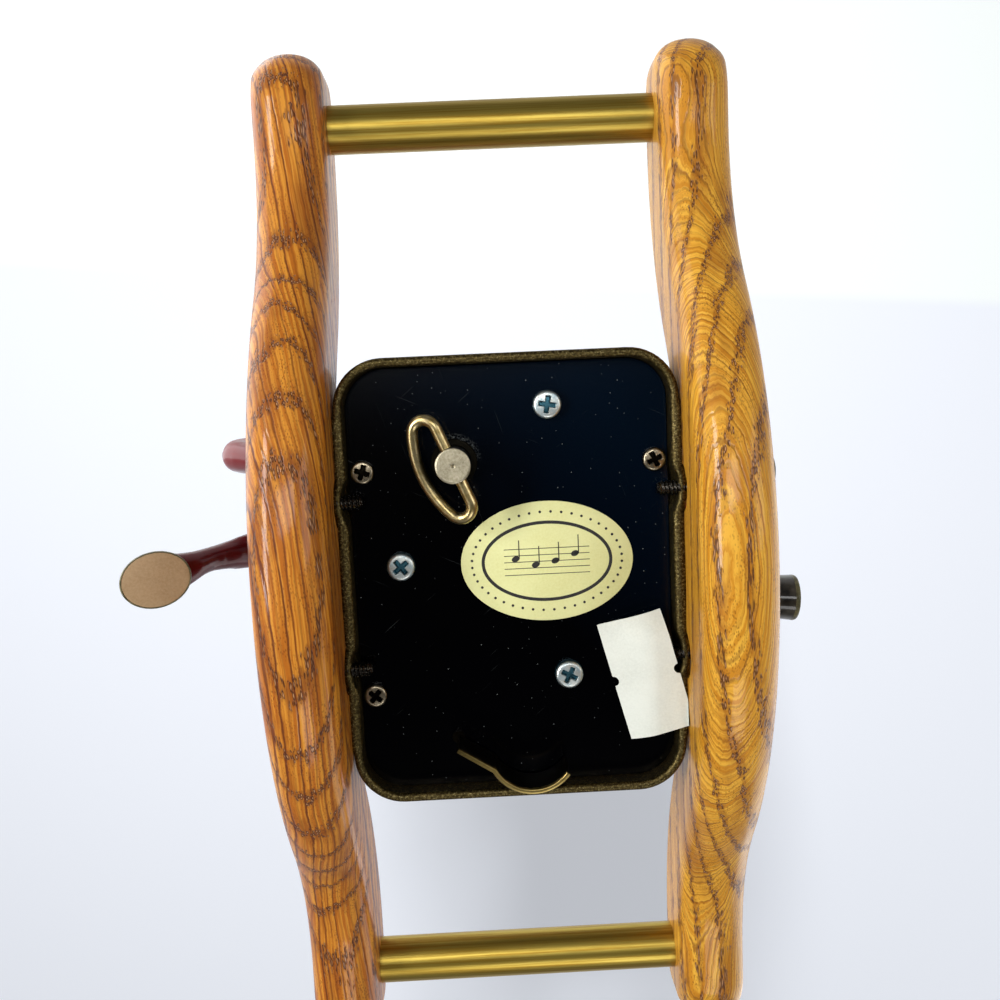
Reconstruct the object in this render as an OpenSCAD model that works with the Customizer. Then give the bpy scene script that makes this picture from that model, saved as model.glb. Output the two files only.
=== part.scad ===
// Music box: a wind-up movement in a metal case, hung between two oak rockers,
// with a glazed horse on a brass post. Millimetres. X across, Y along the rockers, Z up.

/* [Rockers] */
// thickness of each oak rocker
rail_thick = 14; // [11:0.5:18]
// diameter of the two brass rods
rod_dia = 9.4; // [7:0.2:12]

/* [Case] */
// height of the metal case, rim to top
case_height = 32; // [31:0.5:38]
// wall of the metal case
case_wall = 1.7; // [1.3:0.1:2.2]

/* [Key] */
// diameter of the key hub
hub_dia = 6.5; // [5.8:0.1:7.4]
// wire of the folding bail
bail_wire = 2.2; // [1.6:0.1:2.6]

/* [Labels] */
// long axis of the oval label
label_width = 33; // [26:0.5:36]

/* [Figure] */
// diameter of the brass post
post_dia = 7; // [6:0.5:9]

/* [Hidden] */
$fn = 48;

eps = 0.01;
// clearances: a shaft in its hole, a loose fit in a pocket, two pieces that pass
run_fit = 0.05;
side_gap = 0.2;
pass_gap = 0.4;

// case
case_w = 64.2;
case_l = 85;
case_r = 9.5;
rim_z = 18;
top_z = rim_z + case_height;
roof_z = top_z - case_wall;
case_edge = 4;
boss_y = 16;
boss_out = 1;
boss_z = rim_z + 1.4;
boss_r = 4.5;
screw_r = 1.5;
case_head_r = 2.8;
through = 40;

// rocker path: belly arc, reverse arc, straight end, round tip
rail_gap = case_w / 2 + side_gap;
rail_high = 23;
rail_edge = 6.2 * min(1, rail_thick / 14);
belly_r = 92;
reverse_r = 48;
rise = 29;
turn = acos(1 - rise / (belly_r + reverse_r));
reverse_y = (belly_r + reverse_r) * sin(turn);
tip_y = reverse_y + 6.2;
rod_y = tip_y - 2.5;
rod_z = rise + rail_high / 2 + 1.5;
socket = 9;
sink = 4;

// cover and bedplate
cover_recess = 4;
cover_z = rim_z + cover_recess;
cover_t = 1.6;
bed_z = cover_z + cover_t;
bed_t = 2;
deck = bed_z + bed_t;
foot_t = 1.2;
cover_screw_r = 1.25;
move_screw_r = 1.5;
small_screw_r = 0.8;
cover_head_r = 2.25;
move_head_r = 2.72;
cover_head_h = 1.6;
move_head_h = 2;
cover_shank = 7;
cover_inset = 2.8;
cover_front = 21.4;
cover_rear = 21.9;
cover_x = case_w / 2 - case_wall - cover_inset;
cover_pts = [[-cover_x, -cover_front], [cover_x, -cover_front], [-cover_x, cover_rear]];
post_r = 3.2;

// paper labels on the cover
paper_t = 0.15;
label_high = 23.2;
label_x = 6.6;
label_y = -2.75;
sticker_w = 12.4;
sticker_l = 23;
sticker_turn = -14.4;
sticker_gap = 0.8;
sticker_inset = 5;
sticker_back = 22.6;
sticker_edge = case_w / 2 - case_wall - sticker_gap;
sticker_x = sticker_edge - sticker_inset;
sticker_y = case_l / 2 - sticker_back;

// key, arbor and spring barrel; the barrel's toothed flange runs beside the cover's screw post
barrel_r = 11.5;
flange_out = 2.2;
flange_r = barrel_r + flange_out;
post_gap = 0.5;
key_x = post_r + post_gap + flange_r - cover_x;
key_y = -22.6;
hub_drop = 7;
hub_gap = 1.3;
hub_hole = 3.5;
hub_z = rim_z - hub_drop;
hub_top = cover_z - hub_gap;
fold_z = hub_z + hub_hole;
fold_turn = 67.2;
bail_rest = 20;
bail_bend = 2.4;
bail_chord = 7.35;
bow_c = 11.7;
bow_r = 18.3;
arbor_r = 2;
pivot_r = 1.2;
arbor_z = fold_z + bail_wire / 2 + 0.8;
barrel_h = 10;
barrel_wall = 0.8;
barrel_z = deck + 0.6;
lid_t = 1;
flange_t = 1.5;
flange_z = barrel_z + 1.2;
ratchet_r = 6;
ratchet_t = 1.4;
ratchet_z = barrel_z + barrel_h + 0.6;
bridge_z = ratchet_z + ratchet_t + 1.2;
bridge_t = 1.6;
bridge_w = 8;
bridge_end = 4.3;
bridge_leg = 2;
bridge_foot = 6.6;
bridge_off = 1.5;
click_r = 0.7;
click_x = key_x + ratchet_r + 1.35;
click_y = key_y - 2;

// toothed drive, barrel flange to pinion
flange_teeth = 48;
pinion_teeth = 24;
face_w = 1.7;
drive_m = 2 * (barrel_r + pass_gap + face_w / 2) / flange_teeth;
pinion_r = pinion_teeth * drive_m / 2;

// pinned cylinder, along Y from the barrel
plate_t = 1.4;
bearing_w = 6;
bearing_top = 3.1;
bearing_foot = 7;
cyl_z = flange_z + flange_t + 0.625 + pinion_r;
axle_r = 1.2;
drum_r = 6.5;
drum_l = 20;
pin_r = 0.25;
pin_tip = drum_r + 0.75;
notes = 18;
note_step = 1.08;
pinion_y = key_y + barrel_r + pass_gap;
front_y = pinion_y + face_w + pass_gap;
drum_y = front_y + plate_t + pass_gap;
wheel_y = drum_y + drum_l + pass_gap;
wheel_w = 1.4;
rear_y = wheel_y + wheel_w + pass_gap;
note_y = drum_y + drum_l / 2;

// comb
comb_t = 1.2;
comb_x = key_x + drum_r + 9.2;
comb_w = 8.5;
comb_heel = comb_x + comb_w / 2 + 0.25;
comb_hole = 5.2;
comb_slot = 0.28;
slot_l = 6.4;
slot_grow = 0.1;

// governor train, two pairs of spur gears
train_m = 0.4;
wheel_teeth = 36;
train_teeth = 30;
small_teeth = 9;
train_lift = 16.8;
fly_drop = 20.3;
train_d = (wheel_teeth + small_teeth) * train_m / 2;
fly_d = (train_teeth + small_teeth) * train_m / 2;
train_x = key_x + train_d * cos(train_lift);
train_z = cyl_z + train_d * sin(train_lift);
fly_x = train_x + fly_d * cos(fly_drop);
fly_z = train_z - fly_d * sin(fly_drop);
train_phase = 26;
fly_phase = 11.3;
train_r = 0.7;
fly_r = 0.5;
blade = 4.5;
gear_y0 = rear_y + plate_t + 0.6;
gear_w = 1.2;
cage_y = rear_y + 6.6;
blade_y = cage_y + plate_t + 0.8;
blade_l = 4;

// bedplate edges, then the screws that hold it and the ones that hold the frame on it
bed_edge = 0.1;
bed_side = 4.4;
bed_end = 3.8;
bed_tail = 0.2;
bed_left = key_x - flange_r - bed_edge;
bed_right = cover_x - post_r - bed_side;
bed_front = case_wall + bed_end - case_l / 2;
bed_rear = cage_y + plate_t + bed_tail;
frame_out = 5.5;
frame_in = 4.2;
frame_back = 4.8;
cage_foot = [12.7, 2.2];
frame_pts = [[key_x + flange_r + frame_out, key_y], [key_x, front_y + frame_in],
    [key_x, rear_y - frame_back], [key_x + cage_foot[0], cage_y - cage_foot[1]]];
// the third screw stands about halfway between the governor's foot and the plate's edge
move_a = [12.3, 4.4];
move_b = [2.7, 3.1];
move_c = [1.25, 4.1];
move_pts = [[bed_right - move_a[0], bed_front + move_a[1]], [bed_left + move_b[0], -move_b[1]],
    [(frame_pts[3][0] + bed_right) / 2 - move_c[0], bed_rear - move_c[1]]];

// stop lever
lever_x = -12;
lever_back = 11.5;
lever_y = case_l / 2 - lever_back;
lever_r = 1.2;
curl_x = 2;
curl_y = lever_y + 0.4;
curl_r = 8.3;
strip_t = 0.9;
strip_drop = 4.4;
strip_z = rim_z - strip_drop;
strip_h = cover_z - pass_gap - strip_z;

// figure
post_x = 0;
post_y = -6;
thread_r = 3;
post_top = 92;
post_in = 32;
// height of the post's end in the figure's own stations
seat = 92;
horse_turn = 4.8;
collar_r = 9;
collar_t = 1.6;
cone_low = 7.4;
cone_top = 5.4;
cone_h = 2.6;
nut_r = 5.6;
nut_h = 3;

module round_rect(w, l, r) {
    square([w - 2 * r, l], center = true);
    square([w, l - 2 * r], center = true);
    for (x = [-1, 1], y = [-1, 1])
        translate([x * (w / 2 - r), y * (l / 2 - r)]) circle(r);
}

// closed skin over a list of rings with equal point counts
module skin(rings) {
    n = len(rings[0]);
    m = len(rings);
    polyhedron([for (r = rings) for (p = r) p], concat(
        [[for (k = [0:n - 1]) k]],
        [for (i = [0:m - 2], k = [0:n - 1]) let(a = i * n + k, b = i * n + (k + 1) % n) [a, a + n, b]],
        [for (i = [0:m - 2], k = [0:n - 1]) let(a = i * n + k, b = i * n + (k + 1) % n) [b, a + n, b + n]],
        [[for (k = [0:n - 1]) (m - 1) * n + n - 1 - k]]), convexity = 8);
}

// corner points of a rounded rectangle, half sizes a and b
function round_ring(a, b, r, q) = [for (c = [0:3], k = [0:q]) let(
    t = 90 * c + 90 * k / q,
    sx = (c == 0 || c == 3) ? 1 : -1,
    sy = c < 2 ? 1 : -1)
    [sx * (a - r) + r * cos(t), sy * (b - r) + r * sin(t)]];

// stations along the rocker: [y, z of the centre line, slope, half height, half thickness]
mid = rail_high / 2;
half_t = rail_thick / 2;
belly = [for (i = [0:32]) let(a = turn * (i - 16) / 16)
    [(belly_r - mid) * sin(a), belly_r - (belly_r - mid) * cos(a), a, mid, half_t]];
bend = [for (i = [1:12]) let(a = turn * (1 - i / 12))
    [reverse_y - (reverse_r + mid) * sin(a), rise - reverse_r + (reverse_r + mid) * cos(a), a, mid, half_t]];
tip = [for (i = [0:8]) let(
    a = 84 * i / 8,
    s = mid * sin(a),
    e = max(0, s - mid + rail_edge) / rail_edge)
    [tip_y + s, rise + mid, 0, mid * cos(a), half_t - rail_edge * (1 - sqrt(1 - e * e))]];
fore = concat(bend, tip);
path = concat(
    [for (i = [len(fore) - 1:-1:0]) let(p = fore[i]) [-p[0], p[1], -p[2], p[3], p[4]]],
    belly, fore);

module rail_bar() {
    skin([for (p = path) [for (q = round_ring(p[4], p[3], min(rail_edge, p[3] - 0.1, p[4] - 0.1), 5))
        [-q[0], p[0] - q[1] * sin(p[2]), p[1] + q[1] * cos(p[2])]]]);
}

module rail() {
    difference() {
        translate([rail_gap + rail_thick / 2, 0, 0]) rail_bar();
        for (s = [-1, 1]) {
            translate([rail_gap - 5, s * rod_y, rod_z])
                rotate([0, 90, 0]) cylinder(r = rod_dia / 2, h = socket + 5);
            translate([rail_gap - 5, s * boss_y, boss_z])
                rotate([0, 90, 0]) cylinder(r = boss_r + 0.3, h = 5 + boss_out + 0.1);
            translate([rail_gap - 5, s * boss_y, boss_z])
                rotate([0, 90, 0]) cylinder(r = screw_r + 0.1, h = through);
            translate([rail_gap + rail_thick - sink, s * boss_y, boss_z])
                rotate([0, 90, 0]) cylinder(r = case_head_r + 0.3, h = through);
        }
    }
}

module rail_right() {
    color("peru") rail();
}

module rail_left() {
    color("peru") mirror([1, 0, 0]) rail();
}

module rod(s) {
    translate([-rail_gap - socket, s * rod_y, rod_z])
        rotate([0, 90, 0]) cylinder(r = rod_dia / 2, h = 2 * (rail_gap + socket));
}

module rod_front() {
    color("goldenrod") rod(-1);
}

module rod_rear() {
    color("goldenrod") rod(1);
}

module case_solid() {
    e = case_edge;
    skin(concat(
        [[for (q = round_ring(case_w / 2, case_l / 2, case_r, 8)) [q[0], q[1], rim_z]]],
        [for (k = [0:6]) let(i = e * (1 - cos(15 * k)))
            [for (q = round_ring(case_w / 2 - i, case_l / 2 - i, case_r - i, 8))
                [q[0], q[1], top_z - e + e * sin(15 * k)]]]));
}

module case_shell() {
    color("darkolivegreen") difference() {
        union() {
            difference() {
                case_solid();
                translate([0, 0, rim_z - 1]) linear_extrude(roof_z - rim_z + 1)
                    round_rect(case_w - 2 * case_wall, case_l - 2 * case_wall, case_r - case_wall);
            }
            for (x = [-1, 1], y = [-1, 1])
                translate([x * (case_w / 2 - case_wall / 2), y * boss_y, boss_z])
                    rotate([0, x * 90, 0]) cylinder(r = boss_r, h = case_wall / 2 + boss_out);
            for (p = cover_pts)
                translate([p[0], p[1], bed_z]) cylinder(r = post_r, h = roof_z - bed_z + 0.5);
        }
        translate([-case_w, -case_l, 0]) cube([2 * case_w, 2 * case_l, rim_z]);
        for (x = [-1, 1], y = [-1, 1])
            translate([x * (case_w / 2 - 6), y * boss_y, boss_z])
                rotate([0, x * 90, 0]) cylinder(r = screw_r, h = 12);
        for (p = cover_pts)
            translate([p[0], p[1], bed_z - 1]) cylinder(r = cover_screw_r, h = 8);
        translate([post_x, post_y, roof_z - 1]) cylinder(r = thread_r, h = case_wall + 2);
    }
}

// pan head with a cross recess, shank along +Z from the head's bearing face at z = 0
module cross_screw(head_r, head_h, shank_r, shank_l, slot) {
    difference() {
        union() {
            translate([0, 0, -head_h + 0.5]) cylinder(r = head_r, h = head_h - 0.5);
            translate([0, 0, -head_h]) cylinder(r1 = head_r - 0.7, r2 = head_r, h = 0.5 + eps);
            cylinder(r = shank_r, h = shank_l);
        }
        for (a = [0, 90])
            rotate([0, 0, a])
                translate([-slot, -slot / 5, -head_h - 1]) cube([2 * slot, slot / 2.5, 1 + head_h * 0.55]);
    }
}

module case_screw() {
    pitch = 0.75;
    turns = 6;
    tip = rail_thick - sink + rail_gap - (case_w / 2 - 4.5);
    core = tip - turns * pitch;
    cross_screw(case_head_r, 2, screw_r, core, 1.5);
    translate([0, 0, core]) rotate_extrude()
        polygon(concat([[0, 0]],
            [for (i = [0:turns - 1], k = [0, 1]) k == 0
                ? [screw_r, (i + 0.1) * pitch] : [screw_r - 0.35, (i + 0.6) * pitch]],
            [[screw_r - 0.5, turns * pitch], [0, turns * pitch]]));
}

module case_screws() {
    color("silver") for (x = [-1, 1], y = [-1, 1])
        translate([x * (rail_gap + rail_thick - sink), y * boss_y, boss_z])
            rotate([0, -x * 90, 0]) case_screw();
}

module cover_plate() {
    color("black") difference() {
        translate([0, 0, cover_z]) linear_extrude(cover_t)
            round_rect(case_w - 2 * (case_wall + side_gap), case_l - 2 * (case_wall + side_gap),
                case_r - case_wall - side_gap);
        translate([key_x, key_y, 0]) cylinder(r = hub_dia / 2 + 0.75, h = through);
        translate([lever_x, lever_y, 0]) cylinder(r = lever_r + run_fit, h = through);
        for (p = cover_pts) translate([p[0], p[1], 0]) cylinder(r = cover_screw_r, h = through);
        for (p = move_pts) translate([p[0], p[1], 0]) cylinder(r = move_screw_r, h = through);
    }
}

module cover_screws() {
    turns = [20, 65, 38];
    color("saddlebrown") for (i = [0:2])
        translate([cover_pts[i][0], cover_pts[i][1], cover_z])
            rotate([0, 0, turns[i]]) cross_screw(cover_head_r, cover_head_h, cover_screw_r, cover_shank, 1.2);
}

module movement_screws() {
    turns = [10, 52, 28];
    color("silver") for (i = [0:2])
        translate([move_pts[i][0], move_pts[i][1], cover_z])
            rotate([0, 0, turns[i]])
                cross_screw(move_head_r, move_head_h, move_screw_r, cover_t + bed_t, 1.55);
}

module label_oval() {
    color("khaki") translate([label_x, label_y, cover_z - paper_t])
        scale([label_width / 2, label_high / 2, 1]) cylinder(r = 1, h = paper_t);
}

module price_sticker() {
    color("white") translate([0, 0, cover_z - paper_t]) linear_extrude(paper_t)
        intersection() {
            translate([sticker_x, sticker_y]) rotate(sticker_turn) difference() {
                square([sticker_w, sticker_l], center = true);
                for (x = [-1, 1]) translate([x * (sticker_w / 2 + 0.3), 0]) circle(0.9, $fn = 24);
            }
            translate([0, -case_l / 2]) square([sticker_edge, case_l]);
        }
}

module key_hub() {
    color("tan") difference() {
        translate([key_x, key_y, hub_z]) union() {
            cylinder(r1 = hub_dia / 2 - 0.3, r2 = hub_dia / 2, h = 0.3);
            translate([0, 0, 0.3]) cylinder(r = hub_dia / 2, h = hub_top - hub_z - 0.3);
        }
        translate([key_x, key_y, fold_z]) rotate([0, 0, fold_turn])
            translate([-6, 0, 0]) rotate([0, 90, 0]) cylinder(r = bail_wire / 2 + run_fit, h = 12);
        translate([key_x, key_y, arbor_z]) cylinder(r = arbor_r, h = 10);
    }
}

// D-shaped wire: a straight chord through the hub, two corner bends and a shallow bow
module key_bail() {
    wr = bail_wire / 2;
    bend_r = bail_bend;
    bend_x = bail_chord;
    lap = 0.6;
    half = atan2(bend_x, bend_r + bow_c);
    function on_arc(x, y, r, a) = [x + r * cos(a), y + r * sin(a), a + 90];
    route = concat([[bend_x - lap, 0, 0]],
        [for (i = [0:12]) on_arc(bend_x, bend_r, bend_r, -90 + (180 - half) * i / 12)],
        [for (i = [1:11]) on_arc(0, -bow_c, bow_r, 90 - half + 2 * half * i / 12)],
        [for (i = [0:12]) on_arc(-bend_x, bend_r, bend_r, 90 + half + (180 - half) * i / 12)],
        [[-bend_x + lap, 0, 360]]);
    color("goldenrod") translate([key_x, key_y, fold_z])
        rotate([0, 0, fold_turn]) rotate([bail_rest, 0, 0]) {
            translate([-bend_x, 0, 0]) rotate([0, 90, 0]) cylinder(r = wr, h = 2 * bend_x);
            skin([for (p = route) [for (k = [0:15]) let(r = (wr - 0.03) * cos(22.5 * k))
                [p[0] - r * sin(p[2]), p[1] + r * cos(p[2]), (wr - 0.03) * sin(22.5 * k)]]]);
        }
}

module winding_arbor() {
    color("silver") translate([key_x, key_y, 0]) {
        translate([0, 0, arbor_z]) cylinder(r = arbor_r, h = bridge_z - 1 - arbor_z);
        translate([0, 0, bridge_z - 1]) cylinder(r = pivot_r, h = bridge_t + 1.2);
    }
}

module ratchet_wheel() {
    n = 12;
    color("silver") translate([key_x, key_y, ratchet_z]) difference() {
        linear_extrude(ratchet_t)
            polygon([for (i = [0:n - 1], k = [0, 1])
                let(a = (i + k * 0.92) * 360 / n, r = k == 0 ? ratchet_r - 1.1 : ratchet_r)
                    [r * cos(a), r * sin(a)]]);
        translate([0, 0, -1]) cylinder(r = arbor_r, h = ratchet_t + 2);
    }
}

// brass strip on edge with a curled end, its pin through the cover, and an inner arm with a tongue
module stop_lever() {
    start = 152;
    finish = 38;
    steps = 20;
    hub_r = lever_r + 0.8;
    arm_w = 1.6;
    arm_z = bed_z + 0.6;
    tab = [fly_x - blade - 0.63, blade_y + blade_l - 0.8];
    reach = tab - [lever_x, lever_y];
    tongue_h = fly_z + 1.4 - arm_z;
    function edge(side) = concat([[lever_x, lever_y + side / 2]],
        [for (i = [0:steps]) let(a = start + (finish - start) * i / steps, r = curl_r + side / 2)
            [curl_x + r * cos(a), curl_y + r * sin(a)]]);
    inner = edge(-strip_t);
    color("goldenrod") {
        translate([0, 0, strip_z]) linear_extrude(strip_h)
            polygon(concat(edge(strip_t), [for (i = [len(inner) - 1:-1:0]) inner[i]]));
        translate([lever_x, lever_y, strip_z + 0.5])
            cylinder(r = lever_r, h = arm_z + foot_t / 2 - strip_z - 0.5);
        translate([lever_x, lever_y, arm_z - 0.1]) cylinder(r = hub_r, h = foot_t + 0.2);
        translate([lever_x, lever_y, arm_z]) rotate([0, 0, atan2(reach[1], reach[0])])
            translate([0, arm_w / 2, 0]) rotate([90, 0, 0]) linear_extrude(arm_w)
                polygon([[0, 0], [norm(reach), 0], [norm(reach), tongue_h],
                    [norm(reach) - strip_t, tongue_h], [norm(reach) - strip_t, foot_t], [0, foot_t]]);
    }
}

module bedplate() {
    color("gray") difference() {
        translate([bed_left, bed_front, bed_z]) cube([bed_right - bed_left, bed_rear - bed_front, bed_t]);
        translate([key_x, key_y, 0]) cylinder(r = arbor_r + run_fit, h = through);
        for (p = move_pts) translate([p[0], p[1], 0]) cylinder(r = move_screw_r, h = through);
        for (p = frame_pts) translate([p[0], p[1], bed_z + 0.4]) cylinder(r = small_screw_r, h = through);
    }
}

module frame_screws() {
    color("silver") for (p = frame_pts)
        translate([p[0], p[1], deck + foot_t]) rotate([180, 0, 0])
            cross_screw(1.4, 0.9, small_screw_r, foot_t + bed_t - 0.4, 0.9);
}

module foot_hole(i) {
    translate([frame_pts[i][0], frame_pts[i][1], deck - 1]) cylinder(r = small_screw_r, h = 4);
}

module barrel_bridge() {
    leg_x = key_x + flange_r + bridge_off;
    y = key_y - bridge_w / 2;
    color("darkgray") difference() {
        union() {
            translate([key_x - bridge_end, y, bridge_z])
                cube([leg_x + bridge_leg - key_x + bridge_end, bridge_w, bridge_t]);
            translate([leg_x, y, deck]) cube([bridge_leg, bridge_w, bridge_z + bridge_t - deck]);
            translate([leg_x, y, deck]) cube([bridge_foot, bridge_w, foot_t]);
        }
        translate([key_x, key_y, bridge_z - 1]) cylinder(r = pivot_r + run_fit, h = bridge_t + 2);
        translate([click_x, click_y, bridge_z - 1]) cylinder(r = click_r, h = bridge_t + 2);
        foot_hole(0);
    }
}

module click_pawl() {
    color("silver") translate([click_x, click_y, 0]) {
        translate([0, 0, ratchet_z + 0.1]) linear_extrude(ratchet_t - 0.2)
            polygon([[1.2, -1.2], [1.2, 1.2], [-0.6, 1.2], [-1.3, 0.5], [-1.3, -0.4], [-0.4, -1.2]]);
        translate([0, 0, ratchet_z + ratchet_t - 0.2])
            cylinder(r = 1.2, h = bridge_z - ratchet_z - ratchet_t + 0.2);
        translate([0, 0, bridge_z - eps]) cylinder(r = click_r, h = bridge_t);
    }
}

module spring_barrel() {
    color("goldenrod") translate([key_x, key_y, 0]) difference() {
        union() {
            translate([0, 0, barrel_z]) cylinder(r = barrel_r, h = barrel_h);
            translate([0, 0, flange_z]) cylinder(r = flange_r, h = flange_t);
            for (i = [0:flange_teeth - 1]) rotate([0, 0, (i + 0.5) * 360 / flange_teeth])
                translate([barrel_r - 0.3, -0.22, flange_z + 1]) cube([2.4, 0.44, flange_t + 0.15]);
        }
        translate([0, 0, barrel_z + lid_t]) cylinder(r = barrel_r - barrel_wall, h = barrel_h);
        translate([0, 0, barrel_z - 1]) cylinder(r = arbor_r + run_fit, h = barrel_h + 2);
    }
}

module barrel_lid() {
    color("goldenrod") translate([key_x, key_y, barrel_z + barrel_h - lid_t]) difference() {
        cylinder(r = barrel_r - barrel_wall, h = lid_t);
        translate([0, 0, -1]) cylinder(r = arbor_r + run_fit, h = lid_t + 2);
    }
}

module mainspring() {
    coils = 5;
    n = 24;
    total = coils * n;
    thick = 0.5;
    inner = arbor_r + 1.4;
    outer = barrel_r - barrel_wall - thick / 2;
    function coil(i, off) = let(r = inner + (outer - inner) * i / total + off, a = i * 360 / n)
        [r * cos(a), r * sin(a)];
    color("slategray") translate([key_x, key_y, barrel_z + lid_t])
        linear_extrude(barrel_h - 2 * lid_t)
            polygon(concat([for (i = [0:total]) coil(i, -thick / 2)],
                [for (j = [0:total]) coil(total - j, thick / 2)]));
}

// slender clockwork teeth with wide gaps, one tooth centred on +X
module gear_flat(n, m, thick, add, ded) {
    pr = n * m / 2;
    root = pr - ded;
    tip = pr + add;
    polygon([for (i = [0:n - 1], k = [0:3]) let(
        r = (k == 0 || k == 3) ? root : tip,
        w = (k == 0 || k == 3) ? thick * 1.25 : thick * 0.7,
        s = (k < 2) ? -1 : 1,
        a = i * 360 / n + s * asin(w / 2 / r))
        [r * cos(a), r * sin(a)]]);
}

// lays a flat gear across the Y axis, its first tooth turned by a from straight down
module gear_y(x, y, z, wide, a) {
    translate([x, y, z]) rotate([-90, 0, 0]) rotate([0, 0, 90 + a])
        linear_extrude(wide) children();
}

module rod_y_axis(x, y, z, r, l) {
    translate([x, y, z]) rotate([-90, 0, 0]) cylinder(r = r, h = l);
}

module cylinder_axle() {
    color("silver") rod_y_axis(key_x, pinion_y, cyl_z, axle_r, rear_y + plate_t + pass_gap - pinion_y);
}

module drive_pinion() {
    color("goldenrod") difference() {
        gear_y(key_x, pinion_y, cyl_z, face_w, 0) gear_flat(pinion_teeth, drive_m, 0.46, 0.45, 0.6);
        rod_y_axis(key_x, pinion_y - 1, cyl_z, axle_r, face_w + 2);
    }
}

module pin_drum() {
    color("goldenrod") difference() {
        rod_y_axis(key_x, drum_y, cyl_z, drum_r, drum_l);
        rod_y_axis(key_x, drum_y - 1, cyl_z, axle_r, drum_l + 2);
    }
}

module drum_pins() {
    color("silver") for (i = [0:notes - 1], k = [0:2])
        translate([key_x, note_y + (i - (notes - 1) / 2) * note_step, cyl_z])
            rotate([0, i * 137.5 + k * 120 + (i * 7 + k * 53) % 40, 0])
                translate([0, 0, drum_r - 0.3]) cylinder(r = pin_r, h = pin_tip - drum_r + 0.3, $fn = 16);
}

module cylinder_wheel() {
    color("goldenrod") difference() {
        gear_y(key_x, wheel_y, cyl_z, wheel_w, 0) gear_flat(wheel_teeth, train_m, 0.38, 0.32, 0.5);
        rod_y_axis(key_x, wheel_y - 1, cyl_z, axle_r, wheel_w + 2);
    }
}

module bearing_front() {
    color("darkgray") difference() {
        union() {
            translate([key_x - bearing_w / 2, front_y, deck])
                cube([bearing_w, plate_t, cyl_z + bearing_top - deck]);
            translate([key_x - bearing_w / 2, front_y, deck]) cube([bearing_w, bearing_foot, foot_t]);
        }
        rod_y_axis(key_x, front_y - 1, cyl_z, axle_r + run_fit, plate_t + 2);
        foot_hole(1);
    }
}

module bearing_rear() {
    color("darkgray") difference() {
        union() {
            translate([key_x - bearing_w / 2, rear_y, deck])
                cube([fly_x + 2.8 - key_x + bearing_w / 2, plate_t, train_z + 3 - deck]);
            translate([key_x - bearing_w / 2, rear_y - bearing_foot, deck])
                cube([bearing_w, bearing_foot + 0.2, foot_t]);
        }
        rod_y_axis(key_x, rear_y - 1, cyl_z, axle_r + run_fit, plate_t + 2);
        rod_y_axis(train_x, rear_y - 1, train_z, train_r + run_fit, plate_t + 2);
        rod_y_axis(fly_x, rear_y - 1, fly_z, fly_r + run_fit, plate_t + 2);
        foot_hole(2);
    }
}

module comb_holes() {
    for (y = [-comb_hole, comb_hole])
        translate([comb_heel, note_y + y, cyl_z - comb_t / 2 - 4])
            cylinder(r = small_screw_r, h = comb_t + 8);
}

module comb_base() {
    w = notes * note_step + 1.4;
    color("gray") difference() {
        translate([comb_x, note_y - w / 2, deck]) cube([comb_w, w, cyl_z - comb_t / 2 - deck]);
        comb_holes();
    }
}

module tone_comb() {
    tip = key_x + pin_tip + 0.3;
    w = notes * note_step;
    color("silver") difference() {
        translate([tip, note_y - w / 2, cyl_z - comb_t / 2]) cube([comb_x + comb_w - tip, w, comb_t]);
        for (i = [1:notes - 1])
            translate([tip - 1, note_y - w / 2 + i * note_step - comb_slot / 2, cyl_z - comb_t])
                cube([slot_l + slot_grow * i, comb_slot, 2 * comb_t]);
        comb_holes();
    }
}

module comb_screws() {
    color("silver") for (y = [-comb_hole, comb_hole])
        translate([comb_heel, note_y + y, cyl_z + comb_t / 2]) rotate([180, 0, 0])
            cross_screw(1.8, 1.1, small_screw_r, comb_t + 3.3, 1);
}

module train_wheel() {
    color("goldenrod") {
        rod_y_axis(train_x, wheel_y, train_z, train_r, cage_y + plate_t - 0.2 - wheel_y);
        gear_y(train_x, wheel_y, train_z, wheel_w, train_phase)
            gear_flat(small_teeth, train_m, 0.38, 0.32, 0.5);
        gear_y(train_x, gear_y0, train_z, gear_w, train_phase)
            gear_flat(train_teeth, train_m, 0.38, 0.32, 0.5);
    }
}

module governor_fly() {
    color("goldenrod") {
        rod_y_axis(fly_x, rear_y + 0.2, fly_z, fly_r, blade_y + blade_l - rear_y);
        gear_y(fly_x, gear_y0, fly_z, gear_w, fly_phase) gear_flat(small_teeth, train_m, 0.38, 0.32, 0.5);
        translate([fly_x - blade, blade_y, fly_z - 0.3]) cube([2 * blade, blade_l, 0.6]);
    }
}

module governor_plate() {
    color("darkgray") difference() {
        union() {
            translate([train_x - 2.9, cage_y, deck])
                cube([fly_x + 2.8 - train_x + 2.9, plate_t, train_z + 3 - deck]);
            translate([frame_pts[3][0] - 3, cage_y - 4.4, deck]) cube([6, 4.6, foot_t]);
        }
        rod_y_axis(train_x, cage_y - 1, train_z, train_r + run_fit, plate_t + 2);
        rod_y_axis(fly_x, cage_y - 1, fly_z, fly_r + run_fit, plate_t + 2);
        foot_hole(3);
    }
}

module figure_post() {
    color("goldenrod") translate([post_x, post_y, 0]) {
        translate([0, 0, roof_z - 4]) cylinder(r = thread_r, h = case_wall + 4 + eps);
        translate([0, 0, top_z]) cylinder(r = post_dia / 2, h = post_top - top_z);
    }
}

module post_collar() {
    color("goldenrod") translate([post_x, post_y, top_z]) difference() {
        union() {
            cylinder(r = collar_r, h = collar_t);
            translate([0, 0, collar_t]) cylinder(r1 = cone_low, r2 = cone_top, h = cone_h);
        }
        translate([0, 0, -1]) cylinder(r = post_dia / 2, h = collar_t + cone_h + 2);
    }
}

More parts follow.
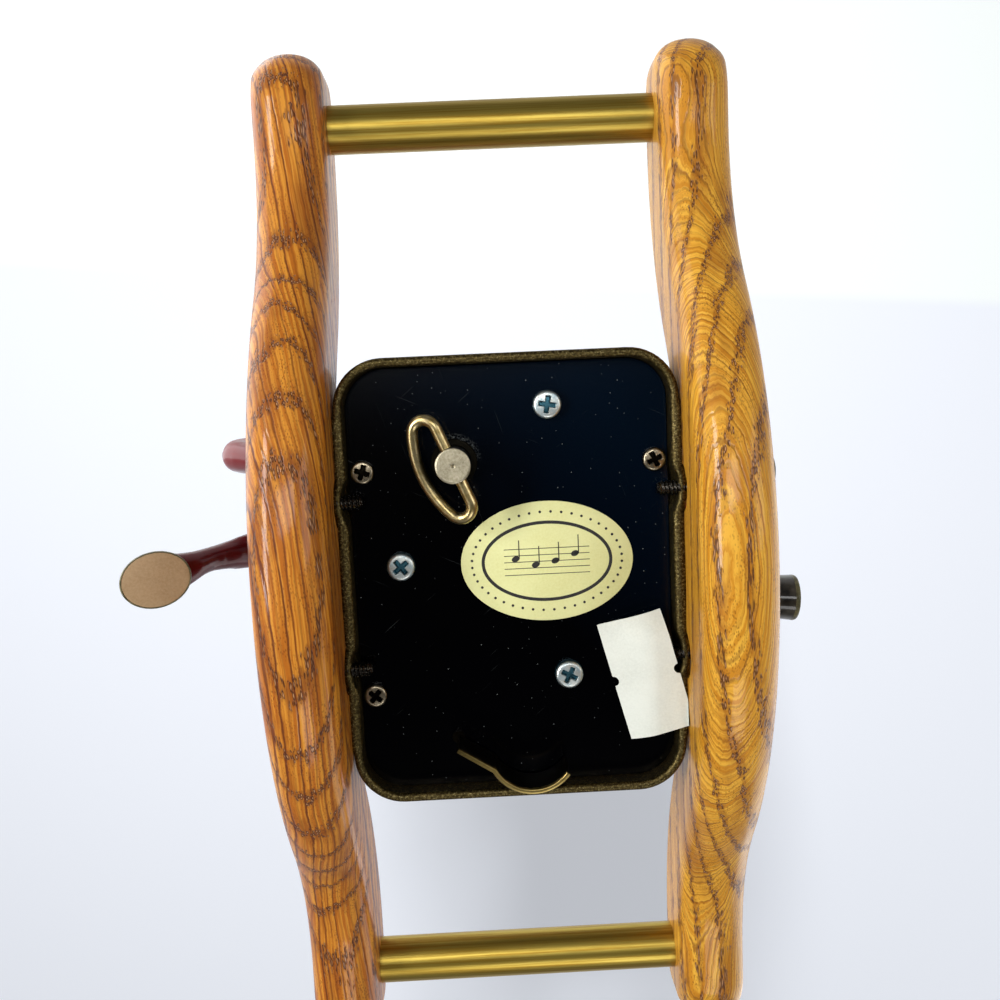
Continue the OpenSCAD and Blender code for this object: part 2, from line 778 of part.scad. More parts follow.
module post_nut() {
    color("silver") translate([post_x, post_y, roof_z - nut_h]) difference() {
        cylinder(r = nut_r, h = nut_h, $fn = 6);
        translate([0, 0, -1]) cylinder(r = thread_r, h = nut_h + 2);
    }
}

// closed tube through stations [x, y, z, half width, half height], rings square to the path
function unit(v) = v / norm(v);
function spot(s) = [s[0], s[1], s[2]];
module sweep(st, n) {
    m = len(st);
    skin([for (i = [0:m - 1]) let(
        t = unit(spot(st[min(i + 1, m - 1)]) - spot(st[max(i - 1, 0)])),
        up = unit(cross(t, [0, 1, 0])),
        side = cross(up, t))
        [for (k = [0:n - 1])
            spot(st[i]) + side * st[i][3] * cos(360 * k / n) + up * st[i][4] * sin(360 * k / n)]]);
}

function leg(p) = [for (s = p) [s[0], s[1], s[2], s[3], s[3]]];

torso = [[50, 0, 103, 3, 4], [47, 0, 102, 9, 11], [40, 0, 101, 14, 16.5], [30, 0, 100, 16.5, 18.5],
    [18, 0, 99.5, 16, 17], [4, 0, 98.5, 16.5, 17], [-10, 0, 98.5, 16.5, 18], [-24, 0, 100, 15.5, 19],
    [-34, 0, 102, 13, 17.5], [-42, 0, 103, 8.5, 12.5], [-46, 0, 103.5, 2.5, 4]];
neck = [[-24, 0, 106, 12, 19], [-31, 0, 117, 10.5, 16.5], [-39, 0, 129, 8, 12.5], [-46, 0, 140, 6.5, 10],
    [-52, 0, 150, 5.5, 8.5], [-55, 0, 155, 3, 4.5]];
head = [[-48, 0, 154, 4, 5], [-53, 0, 152.5, 6.2, 8], [-60, 0, 148.5, 6, 7.8], [-67, 0, 143.5, 4.8, 6],
    [-73, 0, 139.3, 4.2, 5], [-77, 0, 136.5, 3.6, 4.4], [-79, 0, 135, 1.5, 2]];
tail = [[47, 0, 107, 3, 3], [54, 0, 108, 4, 4], [61, 0, 103, 5, 5], [65, 0, 94, 5.5, 5.5],
    [64, 0, 83, 5, 5], [60, 0, 74, 3, 3], [57, 0, 69, 1, 1]];
fore_near = [[-30, 8, 98, 10], [-38, 9.5, 86, 8.2], [-47, 10.3, 73, 6.2], [-54, 10.5, 62, 5.4],
    [-60, 10.5, 51.5, 4], [-64.5, 10.5, 43.5, 4.6], [-67, 10.5, 39, 4.2], [-68.5, 10.5, 36, 5.6],
    [-70.8, 10.5, 30.5, 6.8]];
fore_far = [[-30, -8, 98, 10], [-40, -9.5, 90, 8.2], [-52, -10.5, 84, 6.4], [-61, -10.8, 80, 5.6],
    [-58.5, -10.8, 70, 4], [-53, -10.6, 62.5, 4.6], [-49.5, -10.5, 59.5, 4.2], [-47, -10.5, 57.2, 5.4],
    [-42, -10.5, 53.5, 6.6]];
hind_near = [[30, 10, 98, 13], [39, 12, 88, 10.5], [46, 13, 77, 7.4], [50.5, 13, 68, 5.4],
    [51, 13, 58, 4.2], [52, 13, 50.5, 4.6], [54.5, 13, 46.8, 4.2], [57.5, 13, 45.6, 5.2],
    [64, 13, 45.2, 6.4]];
hind_far = [[30, -10, 98, 13], [39, -12, 90, 10.5], [45.5, -13, 82, 7.2], [49.5, -13, 75, 5.2],
    [49.5, -13, 67, 4.2], [49.5, -13, 61, 4.5], [51, -13, 58.2, 4.1], [53.5, -13, 57, 5.1], [59, -13, 57, 6]];

module horse_figure() {
    color("darkred") translate([post_x, post_y, post_top - seat]) difference() {
        rotate([0, 0, horse_turn]) union() {
            sweep(torso, 20);
            sweep(neck, 16);
            sweep(head, 14);
            sweep(tail, 10);
            for (l = [fore_near, fore_far, hind_near, hind_far]) sweep(leg(l), 14);
            for (s = [-1, 1])
                translate([-50, s * 3.6, 157]) rotate([s * -12, -10, 0])
                    cylinder(r1 = 2.2, r2 = 0.5, h = 9, $fn = 16);
        }
        translate([0, 0, seat - post_in]) cylinder(r = post_dia / 2, h = post_in);
    }
}

rail_left();
rail_right();
rod_front();
rod_rear();
case_shell();
case_screws();
cover_plate();
cover_screws();
movement_screws();
label_oval();
price_sticker();
key_hub();
key_bail();
winding_arbor();
ratchet_wheel();
stop_lever();
bedplate();
barrel_bridge();
click_pawl();
spring_barrel();
barrel_lid();
mainspring();
cylinder_axle();
pin_drum();
drum_pins();
drive_pinion();
cylinder_wheel();
bearing_front();
bearing_rear();
frame_screws();
comb_base();
tone_comb();
comb_screws();
train_wheel();
governor_fly();
governor_plate();
figure_post();
post_collar();
post_nut();
horse_figure();
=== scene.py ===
# %% [markdown]
# A music box on oak rockers, seen from underneath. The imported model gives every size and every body. This
# lesson dresses it: smooth meshes where the plain solids are too coarse to look at, and a material for each
# surface, worked out from the real stuff. Shapes are worked out in millimetres and turned to metres when a
# mesh is made.

# %% Load the frame
import functools
import math

import bmesh
import bpy
import numpy as np
from mathutils import Matrix, Vector


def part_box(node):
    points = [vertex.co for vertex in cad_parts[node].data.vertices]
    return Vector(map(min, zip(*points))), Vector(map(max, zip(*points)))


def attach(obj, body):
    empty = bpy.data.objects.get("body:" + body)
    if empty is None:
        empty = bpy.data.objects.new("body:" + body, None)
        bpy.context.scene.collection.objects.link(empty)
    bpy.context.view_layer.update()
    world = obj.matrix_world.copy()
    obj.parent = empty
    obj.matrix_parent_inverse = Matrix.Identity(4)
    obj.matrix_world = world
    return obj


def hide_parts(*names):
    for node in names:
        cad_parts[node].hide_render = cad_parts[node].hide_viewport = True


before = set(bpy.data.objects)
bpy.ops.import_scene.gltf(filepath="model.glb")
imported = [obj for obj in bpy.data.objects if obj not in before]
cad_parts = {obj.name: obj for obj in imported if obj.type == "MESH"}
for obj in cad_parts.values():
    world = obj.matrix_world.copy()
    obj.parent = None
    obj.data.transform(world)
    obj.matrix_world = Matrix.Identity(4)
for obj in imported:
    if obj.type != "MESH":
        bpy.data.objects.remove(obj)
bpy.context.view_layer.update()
MM = 0.001


def node_box(name):
    """A node's lowest and highest corner in millimetres."""
    low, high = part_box(name)
    return np.array(low) / MM, np.array(high) / MM


# %% [markdown]
# Colours are written as sRGB hex values, the way a paint chart gives them, and turned to linear light once.
# A material could be drawn by hand in the node editor. Here one small function adds a node with its
# settings and links, so that a material reads as a list of steps and every number in it can be changed.

# %% Colour and node helpers
def linear(code):
    """An sRGB hex colour as linear red, green, blue and alpha."""
    parts = [int(code[i:i + 2], 16) / 255 for i in (1, 3, 5)]
    return [p / 12.92 if p <= 0.04045 else ((p + 0.055) / 1.055) ** 2.4 for p in parts] + [1.0]


def connect(tree, made, inputs):
    """Sets a node's inputs to values, or links them where a socket is given."""
    for key, value in dict(inputs).items():
        if isinstance(value, bpy.types.NodeSocket):
            tree.links.new(value, made.inputs[key])
        else:
            made.inputs[key].default_value = value


def add(tree, kind, inputs=(), out=0, **settings):
    """Adds one shader node and returns the output that is asked for, or all of them for None."""
    made = tree.nodes.new("ShaderNode" + kind)
    for key, value in settings.items():
        setattr(made, key, value)
    connect(tree, made, inputs)
    return made.outputs if out is None else made.outputs[out]


def start(name):
    """A new material, the function that adds nodes to it, and the object's coordinates in millimetres."""
    mat = bpy.data.materials.new(name)
    mat.use_nodes = True
    node = functools.partial(add, mat.node_tree)
    metres = node("TexCoord", out="Object")
    return mat, node, node("VectorMath", {0: metres, 1: (1 / MM,) * 3}, operation="MULTIPLY")


def finish(mat, values):
    """Sets or links the sockets of the material's shader by name."""
    connect(mat.node_tree, mat.node_tree.nodes["Principled BSDF"], values)
    print(mat.name, len(mat.node_tree.nodes), "nodes")
    return mat


# %% [markdown]
# Every new piece is a surface on a grid: rows of points along a path, each row a ring around it. Blender's
# own primitives would have to be pushed into shape by hand. Whole arrays are shorter and exact: points go
# in, and the faces come from index arithmetic.

# %% Grid surfaces
def grid(points, along=False):
    """Faces between neighbours of (rows, columns, 3) points: each row is a closed ring, the index of a point
    is its row times the columns plus its column. The ends are capped, or joined where along is true."""
    rows, cols = points.shape[:2]
    i = np.arange(rows if along else rows - 1)[:, None]
    j = np.arange(cols)[None, :]
    this, below, after = i * cols, (i + 1) % rows * cols, (j + 1) % cols
    faces = np.stack([this + j, this + after, below + after, below + j], axis=-1).reshape(-1, 4).tolist()
    if not along:
        faces.append(list(range(cols - 1, -1, -1)))
        faces.append(list(range((rows - 1) * cols, rows * cols)))
    return points.reshape(-1, 3), faces


# %% Making and placing a piece
def make(name, shape, mat, sharp=40):
    """A mesh object in metres from a shape in millimetres, doubles merged and faces pointing out."""
    mesh = bpy.data.meshes.new(name)
    mesh.from_pydata((shape[0] * MM).tolist(), [], shape[1])
    work = bmesh.new()
    work.from_mesh(mesh)
    bmesh.ops.remove_doubles(work, verts=work.verts, dist=2e-7)
    bmesh.ops.dissolve_degenerate(work, edges=work.edges, dist=1e-8)
    bmesh.ops.recalc_face_normals(work, faces=work.faces)
    work.to_mesh(mesh)
    work.free()
    mesh.shade_smooth()
    mesh.set_sharp_from_angle(angle=math.radians(sharp))
    mesh.materials.append(mat)
    made = bpy.data.objects.new(name, mesh)
    bpy.context.scene.collection.objects.link(made)
    return made


def place(made, body, slot, *nodes):
    """Ties a piece to its body and hides the plain solids that it stands for. The finish slot is not used."""
    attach(made, body)
    if nodes:
        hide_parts(*nodes)
    print(made.name, len(made.data.polygons), "faces")


# %% [markdown]
# The camera stands below the box and looks up at its underside. It could be aimed by eye. Here its place
# was worked out from the edges of the rockers, the rods and the rim, so that every piece falls where the
# photo has it. The photo is square, so 963 pixels of focal length on 1000 is 34.7 mm.

# %% Camera
PITCH, YAW, ROLL = 6.608, -0.949, -2.706
RIM_Z = node_box("case_shell")[0][2]
AIM_SHIFT = np.array([2.635, 15.154, 180.952])
FOCAL_SHARE = 0.963
SENSOR = 36.0
NEAREST = 0.005


def turn_about(axis, degrees):
    """A rotation matrix about the X, Y or Z axis."""
    return np.array(Matrix.Rotation(math.radians(degrees), 3, axis))


look = turn_about("Z", ROLL) @ turn_about("Y", YAW) @ turn_about("X", PITCH)
eye = look.T @ -AIM_SHIFT + np.array([0, 0, RIM_Z])
lens = bpy.data.cameras.new("photo_camera")
lens.sensor_width = SENSOR
lens.lens = FOCAL_SHARE * SENSOR
lens.clip_start = NEAREST
camera = bpy.data.objects.new("photo_camera", lens)
axes = Matrix([look[0], -look[1], -look[2]]).transposed().to_4x4()
axes.translation = eye * MM
camera.matrix_world = axes
bpy.context.scene.collection.objects.link(camera)
bpy.context.scene.camera = camera
print("camera at", np.round(eye, 1), "mm")

# %% [markdown]
# The rockers are open-pored oak, shaped, sanded round and varnished. Three things draw its figure: bands of
# coarse pores where each year's growth began, thin ray lines square to those bands, and the pores
# themselves, long tubes along the grain that show as dashes where the surface runs with them and as dots
# where it cuts across. A flat pattern would stretch over the round bars. These are solid ones, so the
# curved underside cuts them into arches by itself.

# %% Oak grain
# Each pattern: its kind, its width and its length along the grain in millimetres, and its detail. Real pores
# are about 0.3 mm wide and are drawn a little coarser, so that they show.
GRAIN = {"drift": ("TexNoise", 20.0, 80.0, 3.0), "fray": ("TexNoise", 0.9, 3.0, 2.0),
         "pores": ("TexVoronoi", 0.42, 3.4, 0.0), "dots": ("TexVoronoi", 0.36, 0.75, 0.0),
         "dot_fields": ("TexNoise", 3.0, 9.0, 2.0), "ray_breaks": ("TexNoise", 1.3, 22.0, 3.0),
         "clouds": ("TexNoise", 6.0, 26.0, 3.0)}
print("oak patterns:", ", ".join(GRAIN))


def oak_grain(node, mm, lean):
    """Every pattern of GRAIN, stretched along Y and turned by lean degrees."""
    grain = {}
    for key, (kind, wide, long, detail) in GRAIN.items():
        along = node("Mapping", {"Vector": mm, "Rotation": (0, 0, math.radians(lean)),
                                 "Scale": (wide, long, wide)}, vector_type="TEXTURE")
        grain[key] = node(kind, {"Vector": along, "Scale": 1.0, "Detail": detail})
    return grain


def oak_layers(node, mm, grain, way, spacing, wander, fray):
    """Distance along a direction, set wandering and fraying by noise, counted in layers of one spacing."""
    depth = node("VectorMath", {0: mm, 1: way}, "Value", operation="DOT_PRODUCT")
    for pattern, much in (("drift", wander), ("fray", fray)):
        depth = node("Math", {0: grain[pattern], 1: much, 2: depth}, operation="MULTIPLY_ADD")
    return node("Math", {0: depth, 1: spacing}, operation="DIVIDE")


# %% [markdown]
# A year's band starts sharply with the wide pores of spring and fades into dense wood. The rays are thin
# upright sheets, so they show as lines. Both could be painted as stripes. Here they are counted as layers
# through the wood, and each layer's number also decides how strong its line is, as no two are alike.

# %% Pores and rays
SMOOTH = {"interpolation_type": "SMOOTHSTEP"}
STREAKS, STREAK_LONG = 2.2, 25.0


def oak_pores(node, grain, ring):
    """The early band of each ring, the pores that crowd it, their painted highlights, and dots in fields
    between.
    """
    year = node("Math", {0: ring}, operation="FRACT")
    begun = node("MapRange", {"Value": year, "From Max": 0.1}, **SMOOTH)
    ended = node("MapRange", {"Value": year, "From Min": 0.46, "From Max": 0.2}, **SMOOTH)
    early = node("Math", {0: begun, 1: ended}, operation="MULTIPLY")
    room = node("MapRange", {"Value": early, "To Min": 0.1, "To Max": 0.56}, **SMOOTH)
    pore = node("Math", {0: room, 1: grain["pores"]}, operation="SUBTRACT")
    pore = node("MapRange", {"Value": pore, "From Max": 0.16}, **SMOOTH)
    # The pale core of each early pore is a painted highlight.
    painted_glint = node("MapRange", {"Value": grain["pores"], "From Min": 0.34, "From Max": 0.12}, **SMOOTH)
    painted_glint = node("Math", {0: painted_glint, 1: early}, operation="MULTIPLY")
    dot = node("MapRange", {"Value": grain["dots"], "From Min": 0.44, "From Max": 0.2}, **SMOOTH)
    field = node("MapRange", {"Value": grain["dot_fields"], "From Min": 0.35, "From Max": 0.65}, **SMOOTH)
    return early, pore, painted_glint, node("Math", {0: dot, 1: field}, operation="MULTIPLY")


def oak_rays(node, mm, grain, sheet):
    """Thin lines between the ray sheets, broken along the grain, some fainter, and the streaks along them."""
    number = node("Math", {0: sheet}, operation="ROUND")
    chance = node("TexWhiteNoise", {"W": number}, "Value", noise_dimensions="1D")
    chance = node("MapRange", {"Value": chance, "To Min": 0.3}, **SMOOTH)
    unbroken = node("MapRange", {"Value": grain["ray_breaks"], "From Min": 0.24, "From Max": 0.46}, **SMOOTH)
    line = node("Math", {0: sheet, 1: 0.5}, operation="PINGPONG")
    line = node("MapRange", {"Value": line, "From Min": 0.2, "From Max": 0.05}, **SMOOTH)
    for share in (unbroken, chance):
        line = node("Math", {0: line, 1: share}, operation="MULTIPLY")
    along = node("Math", {0: node("SeparateXYZ", {0: mm}, "Y"), 1: STREAK_LONG}, operation="DIVIDE")
    across = node("Math", {0: sheet, 1: STREAKS}, operation="MULTIPLY")
    at = node("CombineXYZ", {0: across, 1: along})
    streak = node("TexNoise", {"Vector": at, "Scale": 1.0, "Detail": 4.0, "Roughness": 0.6})
    return line, node("MapRange", {"Value": streak, "From Min": 0.4, "From Max": 0.6}, **SMOOTH)


# %% [markdown]
# Varnish makes the oak warm and deep: the wood under it keeps a dull grain, and a thin clear film over it
# gives sharp highlights that break where it sinks into the pores. Two layers of one shader do the same, a
# rough base and a coat, each with its own share of the relief. A pale core in each early pore is a painted
# highlight. The left rocker has its rings level, the right one has them on a slant.

# %% Varnished oak
# The pale pore tone is a painted highlight.
PORE_DARK, PORE_PAINTED_GLINT = linear("#48200A"), linear("#D09A68")
VARNISH = {"Coat Weight": 0.5, "Coat Roughness": 0.11, "Coat IOR": 1.45}


def varnished_oak(name, ring_way, ray_way, ring_mm, ray_mm, lean, tones, ray_share):
    """Oak with growth rings along ring_way and rays along ray_way, its grain turned by lean from Y."""
    mat, node, mm = start(name)
    light, wood, band, dark = (linear(tone) for tone in tones)
    grain = oak_grain(node, mm, lean)
    ring = oak_layers(node, mm, grain, ring_way, ring_mm, 8.0, 2.2)
    early, pore, painted_glint, dot = oak_pores(node, grain, ring)
    line, streak = oak_rays(node, mm, grain, oak_layers(node, mm, grain, ray_way, ray_mm, 6.0, 0.35))
    cloud = node("MapRange", {"Value": grain["clouds"], "From Min": 0.46, "From Max": 0.68}, **SMOOTH)
    for mark, much, tone in ((streak, 1.0, light), (cloud, 0.5, band), (early, 0.55, band),
                             (line, ray_share, dark), (dot, 0.6, dark), (pore, 0.85, PORE_DARK),
                             (painted_glint, 0.75, PORE_PAINTED_GLINT)):
        share = node("Math", {0: mark, 1: much}, operation="MULTIPLY")
        wood = node("Mix", {0: share, 6: wood, 7: tone}, 2, data_type="RGBA")
    relief = node("Math", {0: line, 1: 0.4, 2: pore}, operation="MULTIPLY_ADD")
    dip, film = (node("Bump", {"Strength": much, "Distance": 0.0002, "Height": relief}, invert=True)
                 for much in (0.7, 0.35))
    return finish(mat, {"Base Color": wood, "Roughness": 0.55, "Specular IOR Level": 0.2, "Normal": dip,
                        "Coat Normal": film, **VARNISH})


left_oak = varnished_oak("varnished_oak_level_rings", (0.06, 0.05, 1.0), (1.0, -0.08, 0.33), 3.95, 1.3, -4.6,
                         ("#D68E2C", "#B26411", "#80400A", "#642A07"), 0.95)
right_oak = varnished_oak("varnished_oak_slanted_rings", (0.82, 0.0, -0.57), (0.55, 0.04, 0.83), 4.1, 0.6,
                          0.0, ("#E8AE3A", "#CA861B", "#985811", "#76420A"), 0.6)

# %% [markdown]
# Many pieces here came off a lathe, and many holes were drilled. A turned piece could be made with
# Blender's Screw modifier. A profile times the cosine and sine of an angle gives the same rings as an
# array, ready to be joined, moved or used as a drill. Drilling itself is a boolean, because its edge has to
# be exact.

# %% Turning and joining
def moved(shape, turn=None, at=(0, 0, 0)):
    """A shape's points times a 3 by 3 matrix, and then shifted."""
    points = shape[0] if turn is None else shape[0] @ np.asarray(turn).T
    return points + np.asarray(at, float), shape[1]


def join(*shapes):
    """Several shapes as one: each face index is raised by the points that came before."""
    verts, faces, count = [], [], 0
    for points, polys in shapes:
        verts.append(points)
        faces += [[k + count for k in poly] for poly in polys]
        count += len(points)
    return np.concatenate(verts), faces


def lathe(profile, steps=64):
    """A profile of (radius, height) turned about Z: x and y are radius times cosine and sine."""
    profile = np.asarray(profile, float)
    angle = np.linspace(0, 2 * np.pi, steps, endpoint=False)
    ring = np.stack([np.cos(angle), np.sin(angle)], axis=-1)
    flat = profile[:, None, :1] * ring[None]
    height = np.broadcast_to(profile[:, 1, None, None], flat.shape[:2] + (1,))
    return grid(np.concatenate([flat, height], axis=-1))


# %% Drilling
def settle(made, sharp):
    """Applies a piece's modifiers, so that its mesh is final."""
    ready = made.evaluated_get(bpy.context.evaluated_depsgraph_get())
    mesh = bpy.data.meshes.new_from_object(ready)
    made.modifiers.clear()
    made.data = mesh
    mesh.shade_smooth()
    mesh.set_sharp_from_angle(angle=math.radians(sharp))


def cut(made, shape, sharp):
    """Cuts a closed shape out of a piece."""
    tool = make("cutter", shape, made.data.materials[0])
    knife = made.modifiers.new("cut", "BOOLEAN")
    knife.object = tool
    knife.operation = "DIFFERENCE"
    knife.solver = "EXACT"
    settle(made, sharp)
    bpy.data.objects.remove(tool)
    print("drilled", made.name)


# %% [markdown]
# A rocker is a rounded bar carried along a curve: a belly arc that meets the table, a reverse arc that
# lifts each end, a short straight run and a domed tip. It could be sawn from a block with booleans and
# bevelled. A profile carried along a path gives the same sweep with even rings, so highlights run along it
# cleanly.

# %% Rocker shape
RAIL_HIGH, RAIL_EDGE = 23.0, 6.2
BELLY_R, REVERSE_R, RISE = 92.0, 48.0, 29.0
rail_low, rail_top = node_box("rail_right")
rail_mid_x = (rail_low[0] + rail_top[0]) / 2
half_t = (rail_top[0] - rail_low[0]) / 2
print("rocker", np.round(rail_top - rail_low, 1), "mm")


def round_ring(a, b, r, corner=10):
    """Rounded rectangles, one for each entry: half size less corner radius, plus radius times cosine and
    sine."""
    a, b, r = (np.asarray(v, float).reshape(-1, 1) for v in (a, b, r))
    t = np.linspace(0, np.pi / 2, corner + 1)[None] + np.arange(4)[:, None] * np.pi / 2
    sx = np.repeat([1, -1, -1, 1], corner + 1)[None]
    sy = np.repeat([1, 1, -1, -1], corner + 1)[None]
    t = t.reshape(1, -1)
    return np.stack([sx * (a - r) + r * np.cos(t), sy * (b - r) + r * np.sin(t)], axis=-1)


# %% Rocker path
def rocker_stations():
    """Rows of y, z, slope, half height and half thickness: along the belly's circle, back along the reverse
    circle, and out to the tip, where height and thickness shrink as quarter circles."""
    mid = RAIL_HIGH / 2
    turn = math.acos(1 - RISE / (BELLY_R + REVERSE_R))
    reverse_y = (BELLY_R + REVERSE_R) * math.sin(turn)
    a = np.linspace(-turn, turn, 97)
    belly = np.stack([(BELLY_R - mid) * np.sin(a), BELLY_R - (BELLY_R - mid) * np.cos(a), a,
                      0 * a + mid, 0 * a + half_t], axis=1)
    a = np.linspace(turn, 0, 41)[1:]
    bend = np.stack([reverse_y - (REVERSE_R + mid) * np.sin(a),
                     RISE - REVERSE_R + (REVERSE_R + mid) * np.cos(a),
                     a, 0 * a + mid, 0 * a + half_t], axis=1)
    a = np.radians(np.concatenate([np.linspace(0, 75, 20), np.linspace(78, 90, 9)]))
    s = mid * np.sin(a)
    e = np.maximum(0, s - mid + RAIL_EDGE) / RAIL_EDGE
    tip = np.stack([rail_top[1] - mid + s, 0 * a + RISE + mid, 0 * a, mid * np.cos(a),
                    half_t - RAIL_EDGE * (1 - np.sqrt(1 - e * e))], axis=1)
    fore = np.concatenate([bend, tip])
    return np.concatenate([fore[::-1] * [-1, 1, -1, 1, 1], belly, fore])


def rocker(side):
    """The bar on one side, -1 or 1: a rounded rectangle at each station, its height tilted by the slope."""
    y, z, slope, high, thick = rocker_stations().T
    ring = round_ring(thick, high, np.minimum(RAIL_EDGE, np.minimum(high, thick)))
    x = side * (rail_mid_x + ring[..., 0])
    return grid(np.stack([x, y[:, None] - ring[..., 1] * np.sin(slope)[:, None],
                          z[:, None] + ring[..., 1] * np.cos(slope)[:, None]], axis=-1))


# %% [markdown]
# The real bars were drilled before they were put together: blind sockets for the cross rods, counterbores
# for the screw heads, and shallow hollows for the bosses of the case. The holes follow the sizes of the
# pieces that go into them, so nothing has to be lined up by eye.

# %% Rockers
ROD_R = 4.7
BOSS_Y, BOSS_Z, BOSS_R = 16.0, 19.4, 4.5
SOCKET_DEEP, HOLLOW_DEEP, COUNTERBORE_R, COUNTERBORE_DEEP, CLEAR = 9, 1.1, 3.1, 4, 5
rod_low, rod_top = node_box("rod_rear")
rod_y, rod_z = (rod_low[1] + rod_top[1]) / 2, (rod_low[2] + rod_top[2]) / 2
inside, outside = rail_low[0], rail_top[0]


def cross_bore(side, y, z, r, near, far):
    """A cylinder along X from near to far, counted from the middle: a turned shape laid on its side."""
    shape = lathe([(0, near), (r, near), (r, far), (0, far)], 48)
    return moved(shape, turn_about("Y", side * 90), (0, y, z))


for side, name, oak in ((-1, "rail_left", left_oak), (1, "rail_right", right_oak)):
    bar = make(name.replace("rail", "oak_rocker"), rocker(side), oak)
    holes = []
    for end in (-1, 1):
        boss = (side, end * BOSS_Y, BOSS_Z)
        holes += [cross_bore(side, end * rod_y, rod_z, ROD_R, inside - CLEAR, inside + SOCKET_DEEP),
                  cross_bore(*boss, BOSS_R + 0.3, inside - CLEAR, inside + HOLLOW_DEEP),
                  cross_bore(*boss, COUNTERBORE_R, outside - COUNTERBORE_DEEP, outside + CLEAR)]
    cut(bar, join(*holes), 50)
    place(bar, "base", "oak", name)

# %% [markdown]
# Metals differ in how they were made. Drawn brass has faint lines along the rod, turned nickel has rings,
# zinc plate has a bluish, mottled bloom. Each could have a recipe of its own. They share one instead: a
# base colour, a second colour mixed in by a noise whose size is the real size of the marks, and a roughness
# that follows it.

# %% Metal recipe
def metal(name, base, worn, grain_mm, rough, mix=(0.4, 0.65), dent=0.15, metallic=1.0, fleck=None, painted_shade=None):
    """A metal with a second tone in marks of grain_mm (x, y, z), flecks of a third, and a painted shade past
    a height.
    """
    mat, node, mm = start(name)
    marks = node("VectorMath", {0: mm, 1: tuple(1 / g for g in grain_mm)}, operation="MULTIPLY")
    noise = node("TexNoise", {"Vector": marks, "Scale": 1.0, "Detail": 4.0, "Roughness": 0.6})
    share = node("MapRange", {"Value": noise, "From Min": mix[0], "From Max": mix[1]})
    layers = [(share, worn)]
    if fleck:
        colour, size = fleck
        cells = node("TexVoronoi", {"Vector": mm, "Scale": 1 / size}, "Distance")
        spot = node("MapRange", {"Value": cells, "From Min": 0.42, "From Max": 0.2})
        layers.append((node("Math", {0: spot, 1: share}, operation="MULTIPLY"), colour))
    if painted_shade:
        # Painted shade: a darker tone from one height to the next, where shade falls.
        colour, near, deep = painted_shade
        z = node("SeparateXYZ", {0: mm}, "Z")
        layers.append((node("MapRange", {"Value": z, "From Min": near, "From Max": deep}), colour))
    tint = linear(base)
    for much, colour in layers:
        tint = node("Mix", {0: much, 6: tint, 7: linear(colour)}, 2, data_type="RGBA")
    haze = node("MapRange", {"Value": noise, "To Min": rough * 0.75, "To Max": rough * 1.3})
    bump = node("Bump", {"Strength": dent, "Distance": 0.0001, "Height": noise})
    return finish(mat, {"Base Color": tint, "Metallic": metallic, "Roughness": haze, "Normal": bump})


# %% [markdown]
# The metals that show on the underside. Brass is warm and satin, nickel grey and silky, zinc bright and
# bluish. The painted shade is a darker tone past a height: it paints the shade at the bottom of a screw's
# cross recess, and on the side of the key's hub.

# %% Metals in sight
COVER_Z = node_box("cover_plate")[0][2]
HUB_Z = node_box("key_hub")[0][2]
# Fine lines along the rod stretch each reflection across it.
drawn_brass = metal("drawn_satin_brass", "#BCA44E", "#A0802F", (30, 0.4, 0.4), 0.36, dent=0.1)
# Fingers keep the wire smooth and pale.
bail_brass = metal("worn_brass_wire", "#C4B284", "#9C8753", (1.5, 1.5, 1.5), 0.3, dent=0.08)
# Polished once and then out of reach: bright, with sharp reflections.
post_brass = metal("polished_brass", "#BFA04C", "#B39040", (3, 3, 0.6), 0.2, dent=0.05)
# A brown film with bright grains worn through it. The grains are drawn coarser than real, so that they show.
bronze = metal("antique_bronze_plate", "#3A301B", "#6E6039", (0.45, 0.45, 0.45), 0.46, mix=(0.42, 0.66),
               dent=0.6, fleck=("#A89A6C", 0.34))
# Thin dark nickel: grey brown, a little shiny, with painted shade at the bottom of the cross recess.
screw_bronze = metal("dark_nickel_screw", "#A89C84", "#7E735E", (0.5, 0.5, 0.5), 0.3,
                     painted_shade=("#14110C", COVER_Z - 1.25, COVER_Z - 0.9))
# The brightest metal here, mottled and faintly blue, with a dark blue painted shade at the bottom of the
# cross recess.
zinc = metal("bright_zinc_plate", "#DCDFD8", "#B9CACE", (1.2, 1.2, 1.2), 0.4, dent=0.1,
             painted_shade=("#3F6A78", COVER_Z - 1.6, COVER_Z - 1.1))
# A silky grey face, with painted shade on the side of the hub above it.
nickel = metal("turned_nickel", "#BDB49B", "#A1987F", (0.4, 0.4, 0.4), 0.42, dent=0.1,
               painted_shade=("#16140F", HUB_Z + 0.3, HUB_Z + 0.6))
# Nearly black with oil, with thin glints along the thread.
dark_steel = metal("oiled_steel_thread", "#4A4640", "#2C2925", (0.6, 0.6, 0.6), 0.26)

# %% [markdown]
# The movement inside the case is brass, plated steel, spring steel and cast iron. It is hidden when the
# case is closed, so it keeps its plain solids. Each still gets the finish that it would have on the bench.

